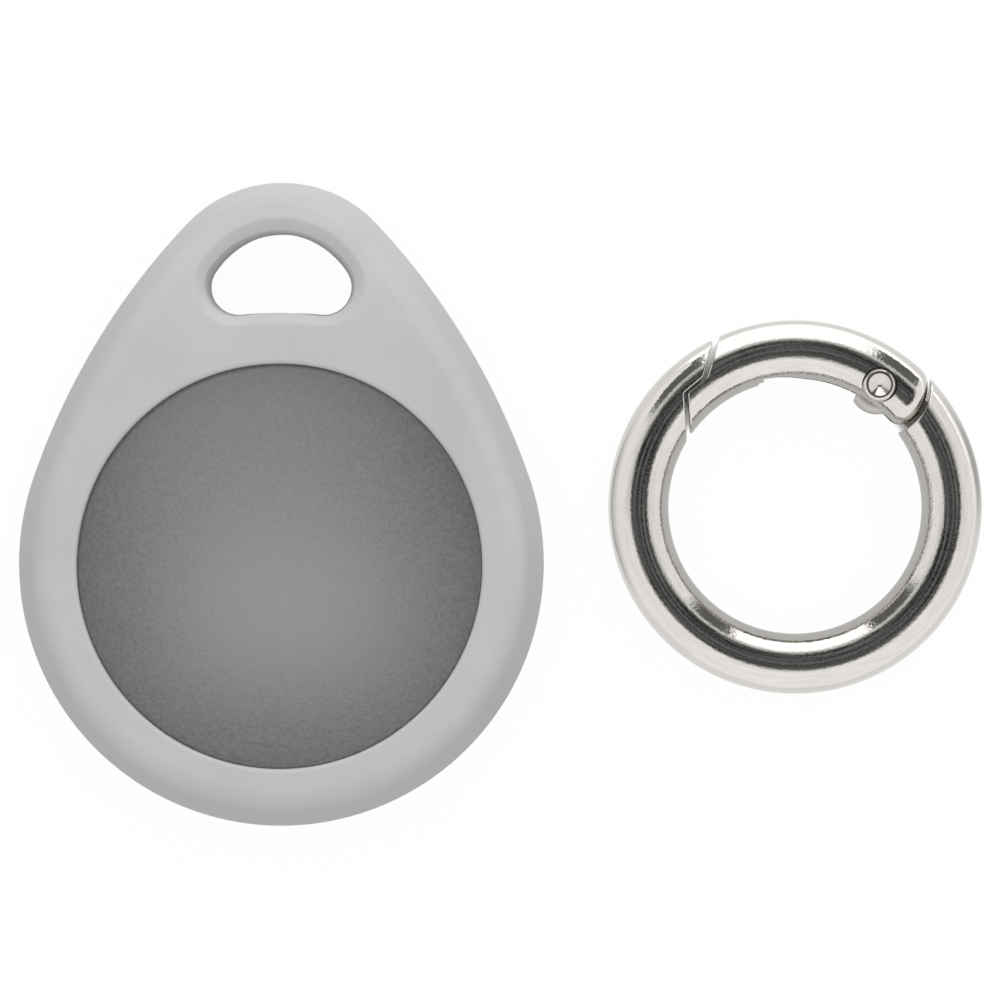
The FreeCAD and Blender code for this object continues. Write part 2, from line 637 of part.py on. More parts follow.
cell_seat = "floor_thickness + cell_z"
can_in = "cell_radius - cell_metal"
crimp_top = "cell_height - cell_step"
cap_out = "cell_radius - cell_crimp - cell_fit"
seal_out = "cell_radius - cell_metal - cell_fit"
seal_in = "cell_radius - cell_crimp + cell_fit"
nodes.append(turned("cell_can", [
    ("0", "0"), ("cell_radius", "0"), ("cell_radius", crimp_top),
    ("cell_radius - cell_crimp", crimp_top), ("cell_radius - cell_crimp", f"{crimp_top} - cell_metal"),
    (can_in, f"{crimp_top} - cell_metal"), (can_in, "cell_metal"), ("0", "cell_metal")], cell_seat))
nodes.append(turned("cell_cap", [
    ("0", "cell_height - cell_metal"), (f"{cap_out} - cell_metal", "cell_height - cell_metal"),
    (f"{cap_out} - cell_metal", "cell_metal + cell_seal_wall + cell_fit"),
    (cap_out, "cell_metal + cell_seal_wall + cell_fit"),
    (cap_out, "cell_height"), ("0", "cell_height")], cell_seat))
nodes.append(turned("cell_seal", [
    (f"{cap_out} - cell_metal", "cell_metal + cell_fit"), (seal_out, "cell_metal + cell_fit"),
    (seal_out, f"{crimp_top} - cell_metal - cell_fit"),
    (f"{cap_out} + cell_fit", f"{crimp_top} - cell_metal - cell_fit"),
    (f"{cap_out} + cell_fit", "cell_metal + cell_seal_wall"),
    (f"{cap_out} - cell_metal", "cell_metal + cell_seal_wall")], cell_seat))
nodes.append(turned("cell_electrodes", [
    ("0", "cell_metal + cell_fit"),
    (f"{cap_out} - cell_metal - cell_fit", "cell_metal + cell_fit"),
    (f"{cap_out} - cell_metal - cell_fit", "cell_height - cell_metal - cell_fit"),
    ("0", "cell_height - cell_metal - cell_fit")], cell_seat))


# Contacts: a leaf on the cell's cap and a clip on its can, both under the board.
def strip(label, corners):
    """A bent strip, drawn on edge and widened both ways."""
    body = new_body(label)
    feature(body, "Pad", draw(new_sketch(body, "XZ"), corners),
            Length="contact_width", SideType="Symmetric")
    return seat(body, "floor_thickness")


leaf_low = "cell_top + contact_gap"
leaf_high = "board_z - contact_thickness"
nodes.append(strip("negative_contact", [
    ("leaf_tip", leaf_low), ("leaf_bend", leaf_low), ("leaf_rise", leaf_high),
    ("leaf_end", leaf_high), ("leaf_end", "board_z"), ("leaf_rise", "board_z"),
    ("leaf_bend", f"{leaf_low} + contact_thickness"),
    ("leaf_tip", f"{leaf_low} + contact_thickness")]))
nodes.append(strip("positive_contact", [
    (f"-({clip_in})", "board_z - clip_drop"), (f"-({clip_in})", "board_z"),
    (f"-({clip_out} + clip_foot)", "board_z"), (f"-({clip_out} + clip_foot)", leaf_high),
    (f"-({clip_out})", leaf_high), (f"-({clip_out})", "board_z - clip_drop")]))

# Circuit board with its parts and the antenna track.
board_blank = seat(primitive("Cylinder", "board_blank", Radius="board_radius",
                             Height="board_thickness"), "floor_thickness + board_z")
board_notch = seat(primitive("Cylinder", "board_notch", Radius="board_key_radius",
                             Height="board_thickness"),
                   "floor_thickness + board_z", "0", "-board_radius")
nodes.append(joined("Cut", "circuit_board", (board_blank, board_notch)))


def on_board(label, length, width, height, x, y):
    """A block on the board, placed by its middle."""
    block = primitive("Box", label, Length=length, Width=width, Height=height)
    return seat(block, "floor_thickness + board_top",
                f"{x} - {length} / 2", f"{y} - {width} / 2")


nodes.append(on_board("radio_chip", "chip_side", "chip_side", "chip_height",
                      "-chip_offset", "0"))
small_parts = [on_board("crystal", "crystal_length", "crystal_width", "crystal_height",
                        "chip_offset / 2", "chip_offset")]
passive_turn_shares = (0.22, 0.3, 0.38, 0.62, 0.7, 0.9)
for count, turn_share in enumerate(passive_turn_shares, start=1):
    x, y = polar("passive_circle", f"360 * {turn_share}")
    small_parts.append(on_board(f"passive_{count}", "passive_length", "passive_width",
                                "passive_height", x, y))
nodes.append(joined("Compound", "board_parts", small_parts))
nodes.append(washer(
    "antenna_ring", "board_radius - antenna_margin - antenna_width",
    "board_radius - antenna_margin", "antenna_height", "board_top"))

# Sounder under the ceiling of the cover, with its two contact pins.
nodes.append(seat(primitive("Cylinder", "sounder_plate", Radius="sounder_radius",
                            Height="sounder_thickness"), "floor_thickness + sounder_z"))
nodes.append(seat(primitive("Cylinder", "sounder_ceramic", Radius="ceramic_radius",
                            Height="ceramic_thickness"), "floor_thickness + ceramic_z"))
pins = [
    seat(primitive("Cylinder", "plate_pin", Radius="sounder_pin_radius",
                   Height="sounder_z - board_top - sounder_pin_gap"),
         "floor_thickness + board_top", "0", "-plate_pin_offset"),
    seat(primitive("Cylinder", "ceramic_pin", Radius="sounder_pin_radius",
                   Height="ceramic_z - board_top - sounder_pin_gap"),
         "floor_thickness + board_top", "0", "-ceramic_pin_offset")]
nodes.append(joined("Compound", "sounder_contacts", pins))


# Ring: swept wire, nose with a stepped split, concave shoulder and a flat lug.
def swept(body, start, sweep):
    """Ring wire from one angle through another, about the ring's axis."""
    sketch = new_sketch(body, "XZ", turn=start)
    draw_circle(sketch, "ring_radius", "wire_radius", "wire_radius")
    return feature(body, "Revolution", sketch, Angle=sweep)


def through(body, corners, arcs=None):
    """Cut an outline through the whole height of a ring piece."""
    sketch = draw(new_sketch(body, "XY"), corners, arcs)
    return feature(body, "Pocket", sketch, Type="ThroughAll", SideType="Symmetric")


def upright(outline, edge, middle):
    """True for an upright edge that a cut over an outline has left."""
    spread = edge.BoundBox.XLength + edge.BoundBox.YLength
    foot = Part.Vertex(middle.x, middle.y, 0)
    reach = number("pick_reach")
    return spread < reach and outline.Shape.distToShape(foot)[0] < reach


def ease(body, outline):
    """Round the corners and then the edges that a cut over an outline has left."""
    corners = pick(body, lambda e, p: upright(outline, e, p))
    if corners:
        dress(body, "Fillet", corners, "split_corner")
    dress(body, "Fillet", pick(body, lambda e, p: on_outline(outline, e, p)), "split_edge")


bore_cut = "ring_bore_radius - cut_overrun"
outer_cut = "ring_outer + cut_overrun"
ring = new_body("ring_body")
nose_start = "split_outer_angle - sweep_margin_angle"
swept(ring, nose_start, f"360 - shoulder_angle - ({nose_start})")
nose_gate_side = "split_outer_angle - 3 * sweep_margin_angle"
nose_cut = through(ring, [
    polar(bore_cut, "nose_throat_angle"),
    polar(bore_cut, nose_gate_side),
    polar(outer_cut, nose_gate_side),
    polar(outer_cut, "nose_tip_angle"),
    polar("ring_outer", "nose_tip_angle"),
    polar("ring_radius + split_gap", "split_step_angle + gap_angle"),
    polar("ring_radius + split_gap", "split_heel_angle + gap_angle"),
    polar("ring_bore_radius", "nose_throat_angle")])
ease(ring, nose_cut.Profile[0])
hinge_space = draw_circle(new_sketch(ring, "XY"), "pivot_x", "0", "shoulder_radius")
feature(ring, "Pocket", hinge_space, Type="ThroughAll", SideType="Symmetric")
ease(ring, hinge_space)
neck_foot = "-(shoulder_radius + neck_root)"
neck = draw(
    new_sketch(ring, "XY", lift="wire_radius"),
    [("lug_x + neck_width / 2", neck_foot), ("lug_x + neck_width / 2", "0"),
     ("lug_x - neck_width / 2", "0"), ("lug_x - neck_width / 2", neck_foot)])
feature(ring, "Pad", neck, Length="lug_thickness", SideType="Symmetric")
lug_foot = "wire_radius - lug_thickness / 2"
lug_top = "wire_radius + lug_thickness / 2"
lug = draw(
    new_sketch(ring, "XZ", aside="lug_x"),
    [("0", lug_foot), ("lug_radius - lug_round", lug_foot),
     ("lug_radius", f"{lug_foot} + lug_round"), ("lug_radius", f"{lug_top} - lug_round"),
     ("lug_radius - lug_round", lug_top), ("0", lug_top)],
    {1: ("lug_round", 1), 3: ("lug_round", 1)})
feature(ring, "Revolution", lug)
beside = "lug_radius + cut_overrun"
through(ring, [
    leaning("spring_seat", f"-({beside})"), leaning("spring_seat", beside),
    leaning(f"spring_seat + {beside}", beside),
    leaning(f"spring_seat + {beside}", f"-({beside})")])
bore = draw_circle(new_sketch(ring, "XY"), "pivot_x", "0", "rivet_radius + rivet_clearance")
feature(ring, "Pocket", bore, Type="ThroughAll", SideType="Symmetric")
nodes.append(on_ring(ring))


def at_heel(edge, middle):
    """True for an edge of the gate's round end that lies on the wire's surface."""
    reach = number("pick_reach")
    away = math.hypot(middle.x - number("pivot_x"), middle.y)
    across = math.hypot(middle.x, middle.y) - number("ring_radius")
    up = middle.z - number("wire_radius")
    on_wire = abs(math.hypot(across, up) - number("wire_radius")) < reach
    return middle.y < 0 and on_wire and abs(away - number("gate_end_radius")) < reach


# Gate: swept wire between hinge and nose, slotted for the lug and the spring.
gate = new_body("ring_gate")
swept(gate, "-gate_heel_angle", "gate_heel_angle + split_inner_angle + sweep_margin_angle")
gate_far_side = "split_inner_angle + 3 * sweep_margin_angle"
gate_cut = through(gate, [
    polar("ring_bore_radius", "split_inner_angle"),
    polar("ring_radius", "split_heel_angle"),
    polar("ring_radius", "split_step_angle"),
    polar("ring_outer", "split_outer_angle"),
    polar(outer_cut, "split_outer_angle"),
    polar(outer_cut, gate_far_side),
    polar(bore_cut, gate_far_side),
    polar(bore_cut, "split_inner_angle")])
ease(gate, gate_cut.Profile[0])
heel = "-(gate_end_radius + 2 * cut_overrun)"
end_foot = "-cut_overrun"
end_top = "2 * wire_radius + cut_overrun"
beyond = "gate_end_radius + 2 * cut_overrun"
end = draw(
    new_sketch(gate, "XZ", turn="180", aside="pivot_x"),
    [("gate_end_radius", end_foot), (beyond, end_foot), (beyond, end_top),
     ("gate_end_radius", end_top)])
feature(gate, "Groove", end, Angle="180")
through(gate, [
    polar("ring_bore_radius", "trim_start_angle"),
    polar("ring_bore_radius + gate_trim", "trim_stop_angle"),
    polar(bore_cut, "trim_stop_angle"), polar(bore_cut, "trim_start_angle")],
    {0: ("ring_bore_radius", 1)})


def slotted(corners, arcs=None):
    """Cut a slot into the middle of the gate's height."""
    sketch = draw(new_sketch(gate, "XY", lift="wire_radius"), corners, arcs)
    feature(gate, "Pocket", sketch, Length="slot_width", SideType="Symmetric")


neck_edge = "pivot_x + neck_slot"
slotted([
    (bore_cut, heel), (neck_edge, heel),
    (neck_edge, "-sqrt(lug_slot_radius^2 - neck_slot^2)"),
    ("pivot_x", "lug_slot_radius"), (bore_cut, "lug_slot_radius")],
    {2: ("lug_slot_radius", 1)})
bore_side = "-(ring_radius - ring_bore_radius + cut_overrun)"
slotted([
    leaning("0", bore_side), leaning("0", "spring_side"),
    leaning("spring_stop", "spring_side"), leaning("spring_stop", bore_side)])
dress(gate, "Fillet", pick(gate, at_heel), "gate_end_round")
bore = draw_circle(new_sketch(gate, "XY"), "pivot_x", "0", "rivet_radius + rivet_fit")
feature(gate, "Pocket", bore, Type="ThroughAll", SideType="Symmetric")
for level, upward in (("recess_top", True), ("head_recess_depth", False)):
    recess = draw_circle(new_sketch(gate, "XY", lift=level), "pivot_x", "0",
                         "head_recess_radius")
    feature(gate, "Pocket", recess, Type="ThroughAll", Reversed=upward)
nodes.append(on_ring(gate))

# Rivet: shank with a punched head at either end.
rivet = new_body("gate_rivet")
low_head = "head_recess_depth - rivet_head_height"
high_head = "recess_top + rivet_head_height"
head_flat = "rivet_head_radius - rivet_head_round"
section = draw(
    new_sketch(rivet, "XZ"),
    [("0", f"{low_head} + dimple_depth"), ("dimple_radius", low_head), (head_flat, low_head),
     ("rivet_head_radius", f"{low_head} + rivet_head_round"),
     ("rivet_head_radius", "head_recess_depth"), ("rivet_radius", "head_recess_depth"),
     ("rivet_radius", "recess_top"), ("rivet_head_radius", "recess_top"),
     ("rivet_head_radius", f"{high_head} - rivet_head_round"), (head_flat, high_head),
     ("dimple_radius", high_head), ("0", f"{high_head} - dimple_depth")],
    {2: ("rivet_head_round", 1), 8: ("rivet_head_round", 1)})
feature(rivet, "Revolution", section)
pivot_at = polar("pivot_x", "hinge_angle")
nodes.append(seat(rivet, "0", "ring_x + " + pivot_at[0], "ring_rise + " + pivot_at[1]))


# Gate spring: one open coil from the lug's seat to the end of the gate's slot.
def arc_between(start, tangent, stop):
    """Arc that leaves start along tangent and ends at stop."""
    chord = stop - start
    aside = tangent - chord * (tangent.dot(chord) / chord.dot(chord))
    bend = tangent.getAngle(chord)
    rise = chord.Length / 2 * math.tan(bend / 2)
    middle = (start + stop) * 0.5 + aside.normalize() * rise
    return Part.Arc(start, middle, stop).toShape()


def biarc(start, leaving, stop, arriving):
    """Two arcs that join two points along two directions."""
    span = stop - start
    both = leaving + arriving
    spread = 2 * (1 - leaving.dot(arriving))
    run = span.dot(both)
    reach = (math.sqrt(run ** 2 + spread * span.dot(span)) - run) / spread
    middle = (start + leaving * reach + stop - arriving * reach) * 0.5
    across = (stop - arriving * reach - start - leaving * reach).normalize()
    return [arc_between(start, leaving, middle), arc_between(middle, across, stop)]


coil = number("spring_coil_radius")
wire = number("spring_wire_radius")
pitch = number("spring_pitch")
ends = number("spring_wire_radius + spring_end_gap")
rise = number("spring_length") - 2 * ends
turns = rise / pitch
quarters = int(math.ceil(4 * turns))
slope = pitch / (2 * math.pi)


def coil_point(angle):
    return FreeCAD.Vector(coil * math.cos(angle), coil * math.sin(angle), slope * angle)


def coil_way(angle):
    return FreeCAD.Vector(
        -coil * math.sin(angle), coil * math.cos(angle), slope).normalize()


angles = [2 * math.pi * turns * step / quarters for step in range(quarters + 1)]
path = []
for low, high in zip(angles, angles[1:]):
    path += biarc(coil_point(low), coil_way(low), coil_point(high), coil_way(high))
profile = Part.Wire([Part.Circle(coil_point(0), coil_way(0), wire).toShape()])
tube = Part.Wire(path).makePipeShell([profile], True, False)
spring = doc.addObject("Part::Feature", "gate_spring")
spring.Label = "gate_spring"
spring.Shape = tube
lean = math.radians(number("spring_lean"))
turn = math.radians(number("hinge_angle"))
axis = FreeCAD.Vector(-math.sin(lean + turn), math.cos(lean + turn), 0)
foot_x, foot_y = leaning("spring_seat", "-spring_offset")
foot = FreeCAD.Vector(number(foot_x), number(foot_y), number("wire_radius"))
laid = FreeCAD.Placement(
    FreeCAD.Vector(number("ring_x"), number("ring_rise"), 0),
    FreeCAD.Rotation(FreeCAD.Vector(0, 0, 1), number("hinge_angle")))
spring.Placement = FreeCAD.Placement(
    laid.multVec(foot) + axis * ends, FreeCAD.Rotation(FreeCAD.Vector(0, 0, 1), axis))
nodes.append(spring)
samples = [coil_point(2 * math.pi * turns * step / (quarters * 8))
           for step in range(quarters * 8 + 1)]
least = min((far - near).Length - 2 * wire
            for index, near in enumerate(samples) for far in samples[index + 16:])
print(f"gate spring: least gap to itself {least:.3f} mm over {turns:.1f} turns")

doc.recompute()
faults = [f"{item.Name}: {item.State}" for item in doc.Objects
          if "Invalid" in item.State or "Error" in item.State]
for node in nodes:
    shape = node.Shape
    if shape.isNull() or not shape.isValid() or not shape.Solids:
        faults.append(f"{node.Label}: no valid solid")
if faults:
    raise RuntimeError("; ".join(faults))
os.makedirs("parts", exist_ok=True)
for node in nodes:
    node.Shape.exportStep(f"parts/{node.Label}.step")
    print(f"{node.Label}: {len(node.Shape.Solids)} solid, {node.Shape.Volume:.2f} mm3")
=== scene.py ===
import json
import math

import bmesh
import bpy
import numpy as np
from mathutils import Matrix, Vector


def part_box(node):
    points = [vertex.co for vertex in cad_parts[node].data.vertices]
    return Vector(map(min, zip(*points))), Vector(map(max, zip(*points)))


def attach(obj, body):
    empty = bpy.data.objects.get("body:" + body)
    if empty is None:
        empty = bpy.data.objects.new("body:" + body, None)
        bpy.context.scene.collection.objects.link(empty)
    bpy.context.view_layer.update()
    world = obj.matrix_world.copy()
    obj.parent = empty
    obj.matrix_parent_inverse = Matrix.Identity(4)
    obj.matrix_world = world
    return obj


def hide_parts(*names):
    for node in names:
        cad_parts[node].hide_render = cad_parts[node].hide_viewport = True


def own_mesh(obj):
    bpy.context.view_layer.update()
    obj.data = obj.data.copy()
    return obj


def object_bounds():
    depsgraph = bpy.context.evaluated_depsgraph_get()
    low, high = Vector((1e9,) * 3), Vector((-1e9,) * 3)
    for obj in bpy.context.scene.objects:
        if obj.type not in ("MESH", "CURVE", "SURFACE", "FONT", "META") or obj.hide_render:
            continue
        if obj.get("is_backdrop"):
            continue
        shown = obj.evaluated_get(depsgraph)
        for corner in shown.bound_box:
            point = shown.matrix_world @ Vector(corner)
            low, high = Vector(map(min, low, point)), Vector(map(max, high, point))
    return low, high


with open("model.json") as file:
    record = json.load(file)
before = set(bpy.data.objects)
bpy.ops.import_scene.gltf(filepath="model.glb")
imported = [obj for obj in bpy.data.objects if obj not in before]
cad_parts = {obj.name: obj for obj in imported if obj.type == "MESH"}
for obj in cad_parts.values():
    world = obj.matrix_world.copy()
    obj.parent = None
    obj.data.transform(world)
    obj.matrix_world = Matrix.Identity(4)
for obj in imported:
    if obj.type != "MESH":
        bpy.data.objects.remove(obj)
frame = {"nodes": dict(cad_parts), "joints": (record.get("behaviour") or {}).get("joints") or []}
cad_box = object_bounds()
scene = bpy.context.scene
scene.view_settings.view_transform = "Standard"

# Lengths are in millimetres, and MM turns them into the frame's metres.
MM = 0.001
# Points nearer than this are one point.
WELD = 0.0005


def node_box(node):
    """Lowest and highest corner of a CAD node in millimetres."""
    low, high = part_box(node)
    return np.array(low) / MM, np.array(high) / MM


def unit(angle):
    """Unit vectors in plan at the given angles."""
    return np.stack([np.cos(angle), np.sin(angle)], axis=-1)


def at_height(plan, height):
    """Points in space from points in plan and their heights."""
    tall = np.broadcast_to(height, plan.shape[:-1])
    return np.concatenate([plan, tall[..., None]], axis=-1)


def between(first, last, steps):
    """Rows of points spaced evenly from one row to another."""
    share = np.linspace(0, 1, steps)[:, None, None]
    return (1 - share) * first + share * last


def swing(first, last, steps):
    """Rows of unit vectors that swing evenly from one direction to another."""
    opening = np.arccos(np.clip((first * last).sum(-1), -1, 1))[None, :, None]
    share = np.linspace(0, 1, steps)[:, None, None]
    return (np.sin((1 - share) * opening) * first + np.sin(share * opening) * last) / np.sin(opening)


def eased(before, corner, after, reach):
    """Rows that round a corner off: a parabola that leaves one side a reach before the corner
    and joins the other side a reach after it."""
    sides = []
    for side in (before, after):
        way = side - corner
        sides.append(corner + reach * way / np.linalg.norm(way, axis=-1, keepdims=True))
    share = np.linspace(0, 1, EASE_STEPS)[:, None, None]
    return (1 - share) ** 2 * sides[0] + 2 * share * (1 - share) * corner + share ** 2 * sides[1]


def piece(name, grids, sharp):
    """One object from grids of points in millimetres, rows by columns by three.

    Each grid's last column joins its first. Neighbouring points make quads, edges that meet are
    welded, the faces of the closed skin are turned outwards, and edges over an angle stay sharp.
    """
    points, quads, start = [], [], 0
    for grid in grids:
        rows, columns = grid.shape[:2]
        index = start + np.arange(rows * columns).reshape(rows, columns)
        index = np.concatenate([index, index[:, :1]], axis=1)
        corners = (index[:-1, :-1], index[:-1, 1:], index[1:, 1:], index[1:, :-1])
        quads.append(np.stack(corners, axis=-1).reshape(-1, 4))
        points.append(grid.reshape(-1, 3) * MM)
        start += rows * columns
    mesh = bpy.data.meshes.new(name)
    mesh.from_pydata(np.concatenate(points).tolist(), [], np.concatenate(quads).tolist())
    work = bmesh.new()
    work.from_mesh(mesh)
    bmesh.ops.remove_doubles(work, verts=work.verts, dist=WELD * MM)
    bmesh.ops.recalc_face_normals(work, faces=work.faces)
    work.to_mesh(mesh)
    work.free()
    mesh.shade_smooth()
    mesh.set_sharp_from_angle(angle=sharp)
    made = bpy.data.objects.new(name, mesh)
    scene.collection.objects.link(made)
    return made


# Sleeve and tag, read from the frame.
sleeve_low, sleeve_high = node_box("holder_sleeve")
tag_low, tag_high = node_box("tag_front_cover")
BODY_RADIUS = sleeve_high[0]
BODY_LIFT = BODY_RADIUS + sleeve_low[1]
CROWN_TOP = sleeve_high[1]
THICKNESS = sleeve_high[2]
TAG_RADIUS = tag_high[0]
TAG_SEAT = tag_low[2]
TAG_TOP = tag_high[2]

# Sleeve sizes that the frame's boxes don't give.
POCKET_CLEARANCE = 0.1
LIP_OVERHANG = 0.87
REAR_LEDGE = 4.0
CROWN_RADIUS = 9.65
FLANK_RADIUS = 53.5
CROWN_THICKNESS = 6.0
CAMBER_MARGIN = 0.35
FRONT_ROUND = 2.0
BACK_ROUND = 2.2
SIDE_DRAFT = math.radians(18)
PARTING_PROUD = 0.06
PARTING_EASE = 0.6
EDGE_ROUND = 0.3
DOME_RADIUS = 110.0
SHOULDER_ROUND = 0.95
BRIDGE_RADIUS = 19.2
LOOP_OPENING = 5.7
ARCH_RADIUS = 6.0
LOOP_CORNER = 2.1
# The loop hole's wall narrows from both mouths to the parting line, where a thin flash stands.
# It narrows more at the sides than at the crown and the bridge.
DRAFT_MOUTH = 0.21
DRAFT_WAIST = -0.05
WAIST_SWELL = 0.22
FLASH_PROUD = 0.05
FLASH_HALF = 0.06
LOOP_SHIFT = -0.13
# The bevel round the loop hole keeps clear of the crown's round edge.
BEVEL_SPREAD = 1.05
BEVEL_CLEAR = 0.35
BEVEL_DEPTH = 0.68
BEVEL_EASE = 0.18
# The loop hole is drawn from its heart, this share of the opening above the bridge.
HEART_SHARE = 0.4
# The front's edge at the loop hole is eased towards a point this share of the way to the outline.
NEAR_SHARE = 0.1
# The pocket and the loop part along a seam this share of the flank above the waist.
SEAM_SHARE = 0.6
# Grid steps: along seam, crown and body, over the rounds and small edges, and across the faces.
SEAM_STEPS = 81
CROWN_STEPS = (30, 120, 30)
BODY_STEPS = (50, 260, 50)
FRONT_STEPS = 16
BACK_STEPS = 12
EDGE_STEPS = 7
SHOULDER_STEPS = 8
POCKET_FACE_STEPS = 18
LOOP_FACE_STEPS = 20
BACK_FACE_STEPS = 12
EASE_STEPS = 5
# Rounds of guessing where the front's round sits, each nearer than the last.
EDGE_ROUNDS = 6
# Edges sharper than this stay sharp.
SLEEVE_SHARP = math.radians(40)

# Teardrop outline: body circle, two flank arcs and crown circle, each tangent to the next.
CROWN_Y = CROWN_TOP - CROWN_RADIUS
CROWN_REACH = CROWN_Y - BODY_LIFT
FLANK_RISE = ((FLANK_RADIUS - BODY_RADIUS) ** 2 - (FLANK_RADIUS - CROWN_RADIUS) ** 2
              + CROWN_REACH ** 2) / (2 * CROWN_REACH)
FLANK_X = math.sqrt((FLANK_RADIUS - BODY_RADIUS) ** 2 - FLANK_RISE ** 2)
FLANK_Y = BODY_LIFT + FLANK_RISE
WAIST_ANGLE = math.atan2(-FLANK_RISE, FLANK_X)
NECK_ANGLE = math.atan2(CROWN_Y - FLANK_Y, FLANK_X)
# The front is level round the window and then falls along an arc to the crown.
WINDOW_RADIUS = TAG_RADIUS - LIP_OVERHANG
CAMBER_START = WINDOW_RADIUS + CAMBER_MARGIN
CAMBER_DROP = THICKNESS - CROWN_THICKNESS
CAMBER_RADIUS = ((CROWN_TOP - CAMBER_START) ** 2 + CAMBER_DROP ** 2) / (2 * CAMBER_DROP)


def outline(angle):
    """Teardrop by the angle of its outward normal: the centre of the arc that owns the angle
    plus that arc's radius along the normal."""
    lift = math.pi / 2 - np.abs(np.mod(angle + math.pi / 2, 2 * math.pi) - math.pi)
    on_crown = lift > NECK_ANGLE
    on_flank = (lift > WAIST_ANGLE) & ~on_crown
    centre_x = np.where(on_flank, -np.sign(np.cos(angle)) * FLANK_X, 0)
    centre_y = np.where(on_crown, CROWN_Y, np.where(on_flank, FLANK_Y, BODY_LIFT))
    radius = np.where(on_crown, CROWN_RADIUS, np.where(on_flank, FLANK_RADIUS, BODY_RADIUS))
    return np.stack([centre_x, centre_y], axis=-1) + radius[..., None] * unit(angle)


def front_height(y, inset=0):
    """Height of the cambered front, or of the face parallel to it an inset below."""
    fall = np.maximum(y - CAMBER_START, 0)
    return THICKNESS - CAMBER_RADIUS + np.sqrt((CAMBER_RADIUS - inset) ** 2 - fall ** 2)


def parting_line(angle):
    """Line where the mould parts: just outside the outline, at half the front's height."""
    plan = outline(angle) + PARTING_PROUD * unit(angle)
    return at_height(plan, front_height(plan[:, 1]) / 2)


def front_edge(angle):
    """Front round of the outline: a ball that touches the front and the drafted side, which leans
    back from the parting line. Gives the ball's centres, the front's normals there, the side's
    normals, and the line where the round runs out into the front."""
    parting = parting_line(angle)
    height = parting[:, 2]
    for _ in range(EDGE_ROUNDS):
        rise = height - parting[:, 2]
        inset = (FRONT_ROUND + rise * math.sin(SIDE_DRAFT)) / math.cos(SIDE_DRAFT)
        plan = parting[:, :2] - inset[:, None] * unit(angle)
        height = front_height(plan[:, 1], FRONT_ROUND)
    centre = at_height(plan, height)
    lean = np.maximum(plan[:, 1] - CAMBER_START, 0) / (CAMBER_RADIUS - FRONT_ROUND)
    normal = np.stack([np.zeros_like(lean), lean, np.sqrt(1 - lean ** 2)], axis=-1)
    side = at_height(math.cos(SIDE_DRAFT) * unit(angle), math.sin(SIDE_DRAFT))
    return centre, normal, side, centre + FRONT_ROUND * normal


def loop_edge(spread, shift, bearing, heart):
    """Loop hole grown by a spread and shifted up the plan, where rays at the given bearings from
    its heart meet it.

    Along a ray, the squared distance to an arc's centre equals the arc's squared radius at two
    roots: the far one is the arch's or the corner's, and the near one is the bridge's.
    """
    moved = np.array([0, shift])
    heart = heart - moved
    arch_y = BRIDGE_RADIUS + LOOP_OPENING - ARCH_RADIUS
    reach_out = BRIDGE_RADIUS + LOOP_CORNER
    reach_in = ARCH_RADIUS - LOOP_CORNER
    corner_y = (reach_out ** 2 - reach_in ** 2 + arch_y ** 2) / (2 * arch_y)
    corner_x = math.sqrt(reach_in ** 2 - (corner_y - arch_y) ** 2)
    corner_at = np.stack([np.sign(np.cos(bearing)) * corner_x, np.full_like(bearing, corner_y)], axis=-1)
    ray = unit(bearing)
    met = []
    for centre, radius, way in (
            (np.array([0, arch_y]), ARCH_RADIUS + spread, 1),
            (np.array([0, 0]), BRIDGE_RADIUS - spread, -1),
            (corner_at, LOOP_CORNER + spread, 1)):
        away = heart - centre
        along = (ray * away).sum(-1)
        square = along ** 2 - (away ** 2).sum(-1) + radius ** 2
        met.append((heart + (way * np.sqrt(np.maximum(square, 0)) - along)[:, None] * ray, square > 0))
    (arch, _), (bridge, hits_bridge), (corner, _) = met
    on_arch = (arch[:, 1] - arch_y) * corner_x > np.abs(arch[:, 0]) * (corner_y - arch_y)
    on_bridge = np.abs(bridge[:, 0]) * corner_y < bridge[:, 1] * corner_x
    on_bridge &= hits_bridge & (np.sin(bearing) < 0)
    return moved + np.where(on_arch[:, None], arch, np.where(on_bridge[:, None], bridge, corner))


